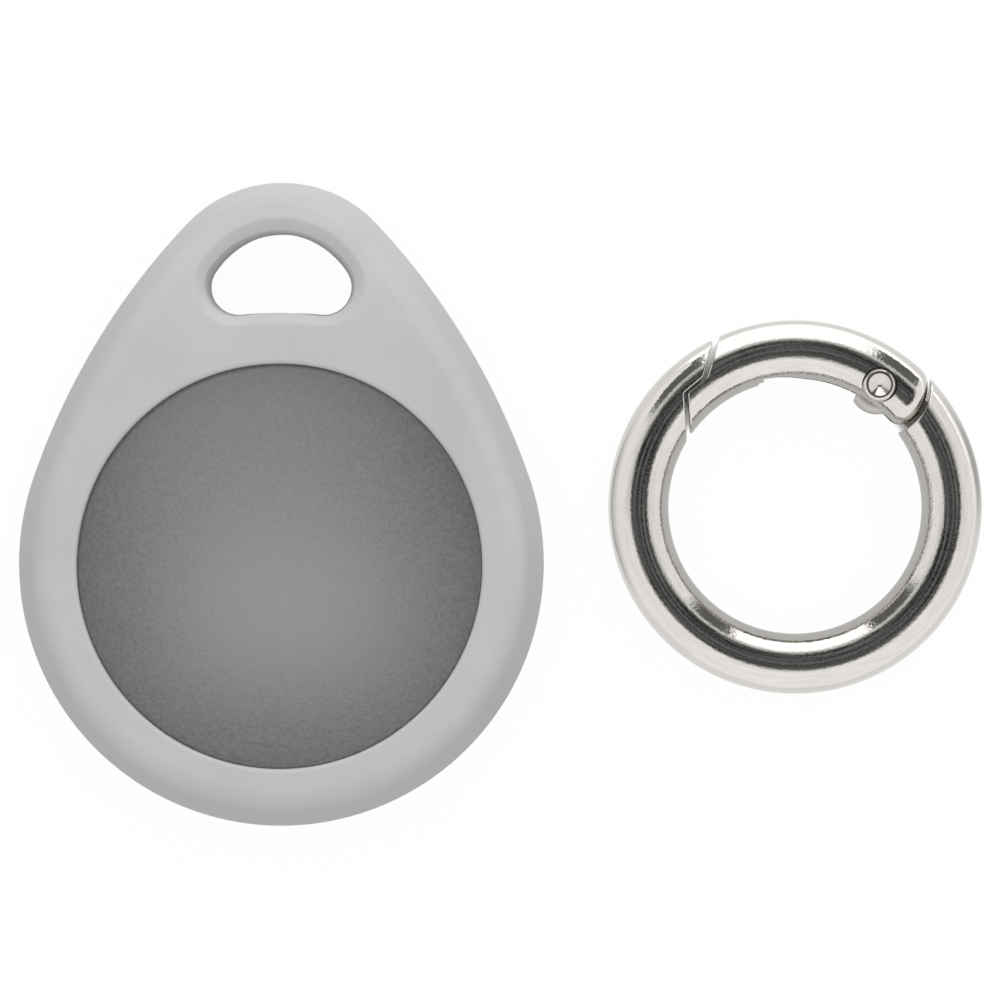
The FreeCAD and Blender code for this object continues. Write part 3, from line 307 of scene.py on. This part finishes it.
def silicone_sleeve():
    """Moulded sleeve as one skin of three grids.

    The rim grid carries the edge profile along the outline: front round, parting, back round. The
    pocket grid runs from the front face through the window and the pocket to the back face. The
    loop grid runs from the front face through the loop hole to the back face. Both faces part
    along a straight line between the window and the loop hole.
    """
    seam = WAIST_ANGLE + SEAM_SHARE * (NECK_ANGLE - WAIST_ANGLE)

    def angles(stops, counts):
        """Angles spaced evenly between each stop and the next."""
        runs = [np.linspace(first, last, count, endpoint=False)
                for first, last, count in zip(stops, stops[1:], counts)]
        return np.concatenate([*runs, stops[-1:]])

    crown = angles((seam, NECK_ANGLE, math.pi - NECK_ANGLE, math.pi - seam), CROWN_STEPS)
    body = angles((math.pi - seam, math.pi - WAIST_ANGLE, 2 * math.pi + WAIST_ANGLE,
                   2 * math.pi + seam), BODY_STEPS)

    def faces(angle):
        """Edges of the front and the back face: a stretch of the outline, closed along the seam."""
        front = front_edge(angle)[3]
        back = at_height(outline(angle) - BACK_ROUND * unit(angle), 0)
        closed = [np.concatenate([edge, between(edge[-1:], edge[:1], SEAM_STEPS)[1:-1, 0]])
                  for edge in (front, back)]
        closed[0][:, 2] = front_height(closed[0][:, 1])
        return closed

    def front_rows(outer, inner, steps):
        """Rows of the front face from its edge to just short of an inner row."""
        rows = between(outer, inner, steps)[:-1]
        rows[..., 2] = front_height(rows[..., 1])
        return rows

    # rim
    around = np.concatenate([body[:-1], crown[:-1]])
    centre, normal, side, _ = front_edge(around)
    out = at_height(unit(around), 0)
    down = np.broadcast_to(np.array([0.0, 0.0, -1.0]), out.shape)
    front_round = centre + FRONT_ROUND * swing(normal, side, FRONT_STEPS)
    back_centre = at_height(outline(around) - BACK_ROUND * unit(around), BACK_ROUND)
    back_round = back_centre + BACK_ROUND * swing(out, down, BACK_STEPS)
    waist = eased(front_round[-1], parting_line(around), back_round[0], PARTING_EASE)
    rim = np.concatenate([front_round, waist, back_round])

    # pocket: front face, lip, window, shoulder, pocket wall, ledge, rear window, back face
    front, back = faces(body)
    spoke = unit(np.arctan2(front[:, 1], front[:, 0]))
    rear = TAG_RADIUS - REAR_LEDGE
    bend = SHOULDER_ROUND + POCKET_CLEARANCE
    bend_r = TAG_RADIUS - SHOULDER_ROUND
    bend_z = TAG_TOP - DOME_RADIUS + math.sqrt((DOME_RADIUS - SHOULDER_ROUND) ** 2 - bend_r ** 2)
    quarter = np.linspace(0, math.pi / 2, EDGE_STEPS)
    bending = np.linspace(math.acos((WINDOW_RADIUS - bend_r) / bend), 0, SHOULDER_STEPS)
    radius = np.concatenate([
        WINDOW_RADIUS + EDGE_ROUND * (1 - np.sin(quarter)), bend_r + bend * np.cos(bending),
        [bend_r + bend, rear], rear + EDGE_ROUND * (1 - np.cos(quarter))])
    height = np.concatenate([
        THICKNESS - EDGE_ROUND * (1 - np.cos(quarter)), bend_z + bend * np.sin(bending),
        [TAG_SEAT, TAG_SEAT], EDGE_ROUND * (1 - np.sin(quarter))])
    turned = at_height(radius[:, None, None] * spoke, height[:, None])
    pocket = np.concatenate([
        front_rows(front, turned[0], POCKET_FACE_STEPS), turned,
        between(turned[-1], back, BACK_FACE_STEPS)[1:]])

    # loop: front face, bevel, drafted wall with its flash, back bevel, back face
    front, back = faces(crown)
    heart = np.array([0, BRIDGE_RADIUS + HEART_SHARE * LOOP_OPENING])
    bearing = np.arctan2(front[:, 1] - heart[1], front[:, 0] - heart[0])
    narrow = DRAFT_WAIST + WAIST_SWELL * np.sin(bearing) ** 2
    brow, mouth, waist, flash = (
        loop_edge(spread, shift, bearing, heart) for spread, shift in
        ((BEVEL_SPREAD, 0), (DRAFT_MOUTH, LOOP_SHIFT), (narrow, LOOP_SHIFT),
         (narrow - FLASH_PROUD, LOOP_SHIFT)))
    reach = np.linalg.norm(brow - heart, axis=-1)
    room = np.linalg.norm(front[:, :2] - heart, axis=-1) - BEVEL_CLEAR
    reach = (reach + room - np.sqrt((reach - room) ** 2 + BEVEL_EASE ** 2)) / 2
    brow = heart + reach[:, None] * unit(bearing)
    mouth_z = front_height(mouth[:, 1]) - BEVEL_DEPTH
    top, upper = at_height(brow, front_height(brow[:, 1])), at_height(mouth, mouth_z)
    lower, foot = at_height(mouth, BEVEL_DEPTH), at_height(brow, 0)
    parting = [at_height(waist, mouth_z / 2 + FLASH_HALF), at_height(flash, mouth_z / 2),
               at_height(waist, mouth_z / 2 - FLASH_HALF)]
    near = (1 - NEAR_SHARE) * brow + NEAR_SHARE * front[:, :2]
    near = at_height(near, front_height(near[:, 1]))
    top_rows = eased(near, top, upper, BEVEL_EASE)
    foot_rows = eased(lower, foot, back, BEVEL_EASE)
    loop = np.concatenate([
        front_rows(front, top_rows[0], LOOP_FACE_STEPS), top_rows,
        eased(top, upper, parting[0], BEVEL_EASE), parting,
        eased(parting[2], lower, foot, BEVEL_EASE), foot_rows,
        between(foot_rows[-1], back, BACK_FACE_STEPS)[1:]])
    return piece("silicone_sleeve", [rim, pocket, loop], SLEEVE_SHARP)


# Gate spring, set from the hinge and the ring's centre.
WIRE_RADIUS = 0.125
COIL_RADIUS = 0.5
COIL_PITCH = 0.72
SPRING_LENGTH = 7.0
SPRING_LEAN = math.radians(9)
SPRING_SEAT = 1.17
SPRING_OFFSET = 0.66
END_GAP = 0.03
COIL_STEPS = 240
WIRE_STEPS = 12
SPRING_SHARP = math.radians(60)
ring_low, ring_high = node_box("ring_body")
RING_CENTRE = ring_low[:2] + (ring_high[0] - ring_low[0]) / 2
RING_RADIUS = (ring_high[0] - ring_low[0] - ring_high[2]) / 2
hinge_joint = next(joint for joint in frame["joints"] if joint["name"] == "gate_open")
HINGE = np.array(hinge_joint["pos_m"]) / MM
HINGE_ANGLE = math.atan2(HINGE[1] - RING_CENTRE[1], HINGE[0] - RING_CENTRE[0])
# The spring's axis in plan, a direction square to it, and the end that sits against the ring.
SPRING_AXIS = np.append(unit(HINGE_ANGLE + SPRING_LEAN + math.pi / 2), 0)
SPRING_SIDE = np.append(unit(HINGE_ANGLE + SPRING_LEAN), 0)
SPRING_FOOT = HINGE + SPRING_SEAT * SPRING_AXIS - SPRING_OFFSET * SPRING_SIDE


def coil_spring():
    """Gate spring: a circle of the wire's radius carried square to a helix about the spring's
    axis, which rises a pitch a turn. Both ends close on a point."""
    margin = WIRE_RADIUS + END_GAP
    rise = SPRING_LENGTH - 2 * margin
    turn = np.linspace(0, 2 * math.pi * rise / COIL_PITCH, COIL_STEPS)[:, None]
    up = np.array([0.0, 0.0, 1.0])
    outward = np.cos(turn) * SPRING_SIDE + np.sin(turn) * up
    along = -np.sin(turn) * SPRING_SIDE + np.cos(turn) * up
    slope = COIL_PITCH / (2 * math.pi)
    line = SPRING_FOOT + COIL_RADIUS * outward + (margin + slope * turn) * SPRING_AXIS
    tangent = COIL_RADIUS * along + slope * SPRING_AXIS
    across = np.cross(tangent / np.linalg.norm(tangent, axis=-1, keepdims=True), outward)
    around = np.linspace(0, 2 * math.pi, WIRE_STEPS, endpoint=False)[None, :, None]
    ring = np.cos(around) * outward[:, None] + np.sin(around) * across[:, None]
    tube = line[:, None] + WIRE_RADIUS * ring
    ends = [np.broadcast_to(line[at], (1, *tube.shape[1:])) for at in (0, -1)]
    return piece("coil_spring", [np.concatenate([ends[0], tube, ends[1]])], SPRING_SHARP)


def linear(code):
    """Linear colour from an sRGB hex value."""
    share = np.array([int(code[at:at + 2], 16) for at in (1, 3, 5)]) / 255
    bright = np.where(share <= 0.04045, share / 12.92, ((share + 0.055) / 1.055) ** 2.4)
    return (*bright.tolist(), 1.0)


def per(size):
    """Texture scale of a pattern whose parts are this many millimetres across."""
    return 1 / (size * MM)


def add(tree, kind, settings=None, inputs=None):
    """Adds a node with its settings, and sets or links its inputs, which go by name or place."""
    made = tree.nodes.new(kind)
    for name, value in (settings or {}).items():
        setattr(made, name, value)
    for place, value in (inputs or {}).items():
        if isinstance(value, bpy.types.Node):
            value = value.outputs[0]
        if isinstance(value, bpy.types.NodeSocket):
            tree.links.new(value, made.inputs[place])
        else:
            made.inputs[place].default_value = value
    return made


# Ranges over which the cloud's and the occlusion's values take full effect, and how softly a dull
# spot ends, as a share of its reach.
CLOUD_SPAN = {"From Min": 0.35, "From Max": 0.65}
GLOSS_SPAN = {"From Min": 0.3, "From Max": 0.7}
GAP_SHADE_SPAN = {"From Min": 0.3, "From Max": 0.8}
DULL_FADE = 1.1


def finish(name, dark, pale, patch, rough, grain, depth, weave=False, painted_gap_shade=None, dull=None,
           **values):
    """Surface finish shared by all materials: two colours and two roughnesses mixed by a cloudy
    pattern of the patch's size, and a bump of the grain's size and depth, all in millimetres.
    A weave takes the grain's place. A painted gap shade given by colour and reach paints shade,
    which isn't metal, into narrow gaps of metal where occlusion is high. A dull spot given by
    centre, reach and roughness is left rough.
    """
    made = bpy.data.materials.new(name)
    made.use_nodes = True
    tree = made.node_tree
    tree.nodes.clear()
    place = add(tree, "ShaderNodeTexCoord").outputs["Object"]
    cloud = add(tree, "ShaderNodeTexNoise", None,
                {"Vector": place, "Scale": per(patch), "Detail": 4.0, "Roughness": 0.6})
    spread = add(tree, "ShaderNodeMapRange", None, {"Value": cloud, **CLOUD_SPAN})
    colour = add(tree, "ShaderNodeMix", {"data_type": "RGBA"},
                 {0: spread, 6: linear(dark), 7: linear(pale)})
    shade = colour.outputs[2]
    # Painted shade: occlusion darkens the colour in narrow gaps, where shade falls.
    if painted_gap_shade:
        gap = add(tree, "ShaderNodeAmbientOcclusion", {"samples": 8}, {"Distance": painted_gap_shade[1] * MM})
        clear = add(tree, "ShaderNodeMapRange", None, {"Value": gap.outputs["AO"], **GAP_SHADE_SPAN})
        shade = add(tree, "ShaderNodeMix", {"data_type": "RGBA"},
                    {0: clear, 6: linear(painted_gap_shade[0]), 7: shade}).outputs[2]
    gloss = add(tree, "ShaderNodeMapRange", None,
                {"Value": cloud, **GLOSS_SPAN, "To Min": rough[0], "To Max": rough[1]})
    if dull:
        offset = add(tree, "ShaderNodeVectorMath", {"operation": "DISTANCE"},
                     {0: place, 1: tuple(dull[0] * MM)})
        spot = add(tree, "ShaderNodeMapRange", None,
                   {"Value": offset.outputs["Value"], "From Min": dull[1] * MM,
                    "From Max": DULL_FADE * dull[1] * MM, "To Min": 1.0, "To Max": 0.0})
        gloss = add(tree, "ShaderNodeMix", {"data_type": "FLOAT"}, {0: spot, 2: gloss, 3: dull[2]})
    if weave:
        texture = add(tree, "ShaderNodeTexChecker", None, {"Vector": place, "Scale": per(grain)})
    else:
        texture = add(tree, "ShaderNodeTexNoise", None,
                      {"Vector": place, "Scale": per(grain), "Detail": 1.0})
    bump = add(tree, "ShaderNodeBump", None,
               {"Strength": 1.0, "Distance": depth * MM, "Height": texture.outputs[0]})
    # Painted shade: the shaded gaps also lose their metal, so they read darker.
    if painted_gap_shade:
        values["Metallic"] = clear
    shader = add(tree, "ShaderNodeBsdfPrincipled", None,
                 {"Base Color": shade, "Roughness": gloss, "Normal": bump, **values})
    add(tree, "ShaderNodeOutputMaterial", None, {"Surface": shader})
    return made


# Moulded silicone: a pale grey, soft sheen over a very slightly uneven skin.
silicone = finish("moulded_silicone", "#BBBBBB", "#C0C0C0", 9.0, (0.5, 0.58), 1.6, 0.006, IOR=1.41)
# Moulded ABS with a spark-eroded grain: dark grey, satin, finely speckled.
cover_plastic = finish("spark_grained_abs", "#404040", "#505050", 0.3, (0.29, 0.35), 0.22, 0.006,
                       IOR=1.53)
# Blasted stainless steel: an even, dull shine.
door_steel = finish("blasted_stainless_steel", "#B4B3B0", "#C2C1BE", 3.0, (0.3, 0.38), 0.12, 0.004,
                    Metallic=1.0)
# Seal rubber: near black and dull.
gasket_rubber = finish("nitrile_rubber", "#181818", "#202020", 2.0, (0.6, 0.7), 0.3, 0.006,
                       IOR=1.52)
# Glass-filled moulding of the inner frame: black with a dull, flowing surface.
frame_plastic = finish("glass_filled_nylon", "#1B1B1C", "#252526", 1.5, (0.45, 0.6), 0.2, 0.006,
                       IOR=1.53)
# Drawn nickel-plated steel of the cell: bright, with faint drawing marks.
cell_steel = finish("nickel_plated_steel", "#C4C2BC", "#CFCDC7", 4.0, (0.18, 0.28), 0.25, 0.002,
                    Metallic=1.0)
# Natural polypropylene of the cell's seal: milky and waxy.
seal_plastic = finish("natural_polypropylene", "#C8C6BB", "#D2D0C6", 2.0, (0.4, 0.5), 0.3, 0.003,
                      IOR=1.49)
# Pressed powder of the cell's filling: charcoal, granular.
electrode_mass = finish("pressed_powder", "#1E1E1E", "#333333", 0.4, (0.8, 0.9), 0.15, 0.01,
                        IOR=1.5)
# Gold-flashed bronze strip of the contacts: warm and bright.
contact_bronze = finish("gold_flashed_bronze", "#D8B36A", "#E4C17A", 2.0, (0.2, 0.3), 0.2, 0.002,
                        Metallic=1.0)
# Glass laminate under green lacquer: glossy, with the cloth's weave just showing.
board_laminate = finish("lacquered_laminate", "#14452C", "#1A5235", 3.0, (0.2, 0.3), 0.5, 0.004,
                        weave=True, IOR=1.55)
# Moulded epoxy of the chip: black, matt.
chip_resin = finish("moulded_epoxy", "#161617", "#1F1F20", 1.0, (0.5, 0.6), 0.12, 0.004, IOR=1.55)
# Fired ceramic of the small parts: buff, chalky.
component_ceramic = finish("fired_ceramic", "#8F8271", "#A39683", 0.6, (0.5, 0.6), 0.1, 0.003,
                           IOR=1.6)
# Tinned copper of the antenna: warm red metal, slightly dulled.
antenna_copper = finish("dulled_copper", "#C08A6C", "#CF997A", 2.0, (0.25, 0.4), 0.2, 0.002,
                        Metallic=1.0)
# Rolled brass of the sounder: yellow metal with fine rolling marks.
sounder_brass = finish("rolled_brass", "#C9A95E", "#D6B76C", 2.0, (0.25, 0.35), 0.2, 0.002,
                       Metallic=1.0)
# Silvered piezo ceramic: pale grey, matt metal skin.
piezo_ceramic = finish("silvered_ceramic", "#C2C2BE", "#D0D0CC", 1.0, (0.5, 0.6), 0.15, 0.003,
                       IOR=1.6)
# Nickel plate over cast zinc: bright, with the casting's pits left under the plate, and
# painted shade, grey, in its seams and gaps.
PAINTED_GAP_SHADE = ("#7A7672", 0.3)
AS_CAST = (HINGE, 2.6, 0.6)
plating = ("#D9D6D1", "#DDDAD5", 2.5, (0.06, 0.1), 0.2, 0.007)
plated_gate = finish("nickel_plated_zinc", *plating, painted_gap_shade=PAINTED_GAP_SHADE)
# The same plate on the ring, whose lug at the hinge is left as cast: matt and pale.
plated_ring = finish("nickel_plated_casting", *plating, painted_gap_shade=PAINTED_GAP_SHADE, dull=AS_CAST)
# Plated rivet steel: bright, with a slightly rougher punched head.
rivet_steel = finish("plated_rivet_steel", "#D2CFCA", "#DAD7D2", 1.0, (0.1, 0.18), 0.3, 0.006,
                     Metallic=1.0)
# Drawn spring wire: grey steel, faintly streaked.
spring_steel = finish("drawn_spring_wire", "#A8A7A4", "#B6B5B2", 0.5, (0.2, 0.3), 0.1, 0.001,
                      Metallic=1.0)

node_finishes = {
    "tag_front_cover": cover_plastic, "battery_door": door_steel, "door_gasket": gasket_rubber,
    "tag_frame": frame_plastic, "cell_can": cell_steel, "cell_cap": cell_steel,
    "cell_seal": seal_plastic, "cell_electrodes": electrode_mass,
    "negative_contact": contact_bronze, "positive_contact": contact_bronze,
    "circuit_board": board_laminate, "radio_chip": chip_resin, "board_parts": component_ceramic,
    "antenna_ring": antenna_copper, "sounder_plate": sounder_brass, "sounder_ceramic": piezo_ceramic,
    "sounder_contacts": contact_bronze, "ring_body": plated_ring, "ring_gate": plated_gate,
    "gate_rivet": rivet_steel,
}
for name, material in node_finishes.items():
    frame["nodes"][name].material_slots[0].material = material

sleeve = silicone_sleeve()
sleeve.data.materials.append(silicone)
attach(sleeve, "holder")
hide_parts("holder_sleeve")

spring = coil_spring()
spring.data.materials.append(spring_steel)
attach(spring, "gate")
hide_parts("gate_spring")
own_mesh(spring)

# Camera straight above, at the photograph's framing: 75 mm across at half the sleeve's height.
VIEW_CENTRE = np.array([16.405, 4.935, THICKNESS / 2])
VIEW_DISTANCE = 475.0
VIEW_WIDTH = 75.0
camera = bpy.data.cameras.new("camera")
camera.lens = camera.sensor_width * VIEW_DISTANCE / VIEW_WIDTH
camera.clip_start = 0.01
viewer = bpy.data.objects.new("camera", camera)
viewer.location = (VIEW_CENTRE + [0, 0, VIEW_DISTANCE]) * MM
scene.collection.objects.link(viewer)
scene.camera = viewer


def card(name, corners, material):
    """Flat stage piece from its corners in millimetres."""
    mesh = bpy.data.meshes.new(name)
    mesh.from_pydata([tuple(np.array(corner) * MM) for corner in corners], [], [range(len(corners))])
    mesh.materials.append(material)
    made = bpy.data.objects.new(name, mesh)
    scene.collection.objects.link(made)
    made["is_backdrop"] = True
    return made


def ray_kinds(tree):
    """Two shares: of rays from the camera or through glass, and of rays from gloss."""
    path = add(tree, "ShaderNodeLightPath")
    seen = add(tree, "ShaderNodeMath", {"operation": "ADD", "use_clamp": True},
               {0: path.outputs["Is Camera Ray"], 1: path.outputs["Is Transmission Ray"]})
    return seen, path.outputs["Is Glossy Ray"]


# Sky: white to the eye and an even fill light. Polished metal sees more of the studio: a white
# screen behind the set, a dark stand at each side of it, and a dark, mottled ceiling, which tilts
# towards the screen. The walls go by bearing in degrees, and their share and the ceiling's by the
# sine of the rise. The gap between walls and ceiling goes from front to back.
FILL = 0.93
SCREEN = 1.6
STAND = 0.14
GAP = {"From Min": -0.4, "From Max": 0.4, "To Min": 1.08, "To Max": 0.75}
WALLS = ((-180, 1.0), (-90, 1.1), (0, 1.0), (37, 1.0), (45, STAND), (58, STAND), (63, SCREEN),
         (117, SCREEN), (121, STAND), (140, STAND), (150, 1.0), (180, 1.0))
WALL_RISE = ((0.0, 0.5), (0.06, 1.0), (0.6, 1.0), (0.7, 0.0), (1.0, 0.0))
CEILING_EDGE = (0.76, 0.89)
CEILING_TILT = math.radians(7)
CEILING = {"To Min": 0.0, "To Max": 0.18}
PATCHY = {"To Min": 0.9, "To Max": 1.06}
MOTTLE_SCALE = 9.0
sky = bpy.data.worlds.new("studio")
sky.use_nodes = True
air = sky.node_tree
air.nodes.clear()
way = add(air, "ShaderNodeTexCoord").outputs["Generated"]
towards = add(air, "ShaderNodeSeparateXYZ", None, {0: way})
bearing = add(air, "ShaderNodeMath", {"operation": "ARCTAN2"},
              {0: towards.outputs["Y"], 1: towards.outputs["X"]})
turn = add(air, "ShaderNodeMapRange", None,
           {"Value": bearing, "From Min": -math.pi, "From Max": math.pi})
walls = add(air, "ShaderNodeValToRGB", None, {0: turn})
rise = add(air, "ShaderNodeValToRGB", None, {0: towards.outputs["Z"]})
for made, stops in ((walls, [(0.5 + degrees / 360, strength) for degrees, strength in WALLS]),
                    (rise, WALL_RISE)):
    made.color_ramp.interpolation = "EASE"
    for place, _ in stops[1:-1]:
        made.color_ramp.elements.new(place)
    for element, (_, strength) in zip(made.color_ramp.elements, stops):
        element.color = (strength, strength, strength, 1)
gap = add(air, "ShaderNodeMapRange", None, {"Value": towards.outputs["Y"], **GAP})
walls = add(air, "ShaderNodeMix", {"data_type": "FLOAT"}, {0: rise, 2: gap, 3: walls})
cloud = add(air, "ShaderNodeTexNoise", None, {"Vector": way, "Scale": MOTTLE_SCALE, "Detail": 4.0})
mottle = add(air, "ShaderNodeMapRange", None, {"Value": cloud, **CLOUD_SPAN, **CEILING})
patchy = add(air, "ShaderNodeMapRange", None, {"Value": cloud, **CLOUD_SPAN, **PATCHY})
walls = add(air, "ShaderNodeMath", {"operation": "MULTIPLY"}, {0: walls, 1: patchy})
tilted = add(air, "ShaderNodeVectorMath", {"operation": "DOT_PRODUCT"},
             {0: way, 1: (0, math.sin(CEILING_TILT), math.cos(CEILING_TILT))})
over = add(air, "ShaderNodeMapRange", {"interpolation_type": "SMOOTHSTEP"},
           {"Value": tilted.outputs["Value"], "From Min": CEILING_EDGE[0], "From Max": CEILING_EDGE[1]})
mirrored = add(air, "ShaderNodeMix", {"data_type": "FLOAT"}, {0: over, 2: walls, 3: mottle})
seen, glossy = ray_kinds(air)
plain = add(air, "ShaderNodeMix", {"data_type": "FLOAT"}, {0: seen, 2: FILL, 3: 1.0})
level = add(air, "ShaderNodeMix", {"data_type": "FLOAT"}, {0: glossy, 2: plain, 3: mirrored})
lit = add(air, "ShaderNodeBackground", None, {"Color": (1, 1, 1, 1), "Strength": level})
add(air, "ShaderNodeOutputWorld", None, {"Surface": lit})
scene.world = sky

# Floor: white paper, mostly its own white to the eye, with the object's faint shadow on it. Polished
# metal sees painted shade and light on it: painted shade round the ring, darkest inside it, a
# painted shade spot at the ring's right, white farther off, and a painted pool of light, brighter
# than white, under the screen. Under the ring it has no white of its own, so the ring's gaps stay
# dark. Each pair is the distances in millimetres over which one level gives way to the next.
FLOOR = 1500.0
FLOOR_LEVEL = -0.05
PAPER_GLOW = 0.965
RING_SHADE = (1.5, 2.1)
INSIDE, OUTSIDE, FARTHER, SPOT = 0.6, 0.9, 1.08, 0.5
RING_EDGE = (RING_RADIUS - 1, RING_RADIUS + 1)
FAR_EDGE = (24, 34)
SPOT_EDGE = (2, 9)
SPOT_PLACE = RING_CENTRE + [20, 5]
SCREEN_EDGE = (22, 28)


def over_edge(edge, near, far):
    """Values of a range that runs from one level to another over an edge in millimetres."""
    return {"From Min": edge[0] * MM, "From Max": edge[1] * MM, "To Min": near, "To Max": far}


paper = bpy.data.materials.new("white_paper")
paper.use_nodes = True
sheet = paper.node_tree
sheet.nodes.clear()
place = add(sheet, "ShaderNodeTexCoord").outputs["Object"]
across = add(sheet, "ShaderNodeSeparateXYZ", None, {0: place})
# Painted shade and light for polish: the floor's glow in reflections is dimmed round the ring and at a spot
# to its right, and raised under the screen.
away, shade_spot_away = (
    add(sheet, "ShaderNodeVectorMath", {"operation": "DISTANCE"},
        {0: place, 1: (*(centre * MM).tolist(), FLOOR_LEVEL * MM)}).outputs["Value"]
    for centre in (RING_CENTRE, SPOT_PLACE))
aside = add(sheet, "ShaderNodeMath", {"operation": "SUBTRACT"}, {0: away, 1: RING_RADIUS * MM})
aside = add(sheet, "ShaderNodeMath", {"operation": "ABSOLUTE"}, {0: aside})
clear = add(sheet, "ShaderNodeMapRange", {"interpolation_type": "SMOOTHSTEP"},
            {"Value": aside, **over_edge(RING_SHADE, 0.0, 1.0)})
beside = add(sheet, "ShaderNodeMapRange", {"interpolation_type": "SMOOTHSTEP"},
             {"Value": shade_spot_away, **over_edge(SPOT_EDGE, SPOT, OUTSIDE)})
near = add(sheet, "ShaderNodeMapRange", None,
           {"Value": away, **over_edge(RING_EDGE, INSIDE, beside)})
wide = add(sheet, "ShaderNodeMapRange", None, {"Value": away, **over_edge(FAR_EDGE, near, FARTHER)})
mirrored = add(sheet, "ShaderNodeMapRange", {"interpolation_type": "SMOOTHSTEP"},
               {"Value": across.outputs["Y"], **over_edge(SCREEN_EDGE, wide, SCREEN)})
seen, glossy = ray_kinds(sheet)
share = add(sheet, "ShaderNodeMath", {"operation": "MULTIPLY_ADD"},
            {0: seen, 1: PAPER_GLOW, 2: glossy})
share = add(sheet, "ShaderNodeMath", {"operation": "MULTIPLY"}, {0: share, 1: clear})
both = add(sheet, "ShaderNodeMath", {"operation": "ADD"}, {0: seen, 1: glossy})
shade = add(sheet, "ShaderNodeMix", {"data_type": "RGBA"},
            {0: both, 6: linear("#7C7C7C"), 7: linear("#FDFDFD")})
matt = add(sheet, "ShaderNodeBsdfDiffuse", None, {"Color": shade.outputs[2]})
level = add(sheet, "ShaderNodeMix", {"data_type": "FLOAT"}, {0: glossy, 2: 1.0, 3: mirrored})
glow = add(sheet, "ShaderNodeEmission", None, {"Color": (1, 1, 1, 1), "Strength": level})
mixed = add(sheet, "ShaderNodeMixShader", None, {0: share, 1: matt, 2: glow})
add(sheet, "ShaderNodeOutputMaterial", None, {"Surface": mixed})
card("floor", [(x * FLOOR, y * FLOOR, FLOOR_LEVEL) for x, y in ((-1, -1), (1, -1), (1, 1), (-1, 1))],
     paper)

# A white flag between the sleeve and the ring, which only the ring's polish sees. It is duller at its
# foot, and most of all straight across from the ring. The pairs are edges as for the floor.
FLAG_X = 22
FLAG_Y = (-20, 28)
FLAG_Z = (0.5, 6.5)
FLAG_FOOT = (1, 4)
FLAG_MIDDLE = (4, 11)
FACING = (0.5, 1.0)
ASIDE = (0.88, 1.05)
flag_white = bpy.data.materials.new("white_flag")
flag_white.use_nodes = True
cloth = flag_white.node_tree
cloth.nodes.clear()
behind = add(cloth, "ShaderNodeNewGeometry").outputs["Backfacing"]
place = add(cloth, "ShaderNodeTexCoord").outputs["Object"]
across = add(cloth, "ShaderNodeSeparateXYZ", None, {0: place})
facing, apart = (
    add(cloth, "ShaderNodeMapRange", None,
        {"Value": across.outputs["Z"], **over_edge(FLAG_FOOT, *levels)})
    for levels in (FACING, ASIDE))
aside = add(cloth, "ShaderNodeMath", {"operation": "SUBTRACT"},
            {0: across.outputs["Y"], 1: RING_CENTRE[1] * MM})
aside = add(cloth, "ShaderNodeMath", {"operation": "ABSOLUTE"}, {0: aside})
level = add(cloth, "ShaderNodeMapRange", {"interpolation_type": "SMOOTHSTEP"},
            {"Value": aside, **over_edge(FLAG_MIDDLE, facing, apart)})
glow = add(cloth, "ShaderNodeEmission", None, {"Color": (1, 1, 1, 1), "Strength": level})
bare = add(cloth, "ShaderNodeBsdfTransparent")
mixed = add(cloth, "ShaderNodeMixShader", None, {0: behind, 1: glow, 2: bare})
add(cloth, "ShaderNodeOutputMaterial", None, {"Surface": mixed})
flag = card("flag", [(FLAG_X, FLAG_Y[y], FLAG_Z[z]) for y, z in ((0, 0), (1, 0), (1, 1), (0, 1))],
            flag_white)
for kind in ("camera", "diffuse", "transmission", "volume_scatter", "shadow"):
    setattr(flag, "visible_" + kind, False)

# Middle of the set, which the key light faces.
AIM = np.array([22.0, 4.0, 4.0])


def aloft(bearing, rise, distance):
    """Point at a bearing and a rise in degrees, at a distance from the middle of the set."""
    plan = unit(math.radians(bearing)) * math.cos(math.radians(rise))
    return AIM + distance * np.append(plan, math.sin(math.radians(rise)))


def softbox(name, place, size, power, aim=None):
    """Rectangular lamp at a place in millimetres, turned to face a point or else straight down."""
    lamp = bpy.data.lights.new(name, "AREA")
    lamp.shape = "RECTANGLE"
    lamp.size, lamp.size_y = size[0] * MM, size[1] * MM
    lamp.energy = power
    made = bpy.data.objects.new(name, lamp)
    made.location = np.array(place) * MM
    if aim is not None:
        made.rotation_euler = Vector(aim - place).to_track_quat("-Z", "Y").to_euler()
    made.visible_camera = False
    scene.collection.objects.link(made)
    return made


# A low, wide light from behind, which polish doesn't show.
key = softbox("key", aloft(bearing=80, rise=14, distance=700), size=(750, 340), power=2.1, aim=AIM)
key.visible_glossy = False
# Two lamps over the tag alone give its dome the photograph's soft highlight.
tag_only = bpy.data.collections.new("tag_only")
tag_only.objects.link(frame["nodes"]["tag_front_cover"])
for name, place, size, power in (("tag_light_low", (-9.7, -37.6, 410), (178, 114), 0.53),
                                 ("tag_light_high", (-35.0, 109.0, 410), (207, 146), 0.38)):
    softbox(name, place, size, power).light_linking.receiver_collection = tag_only

size = {"cad": [list(corner) for corner in cad_box], "visual": [list(corner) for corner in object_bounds()]}
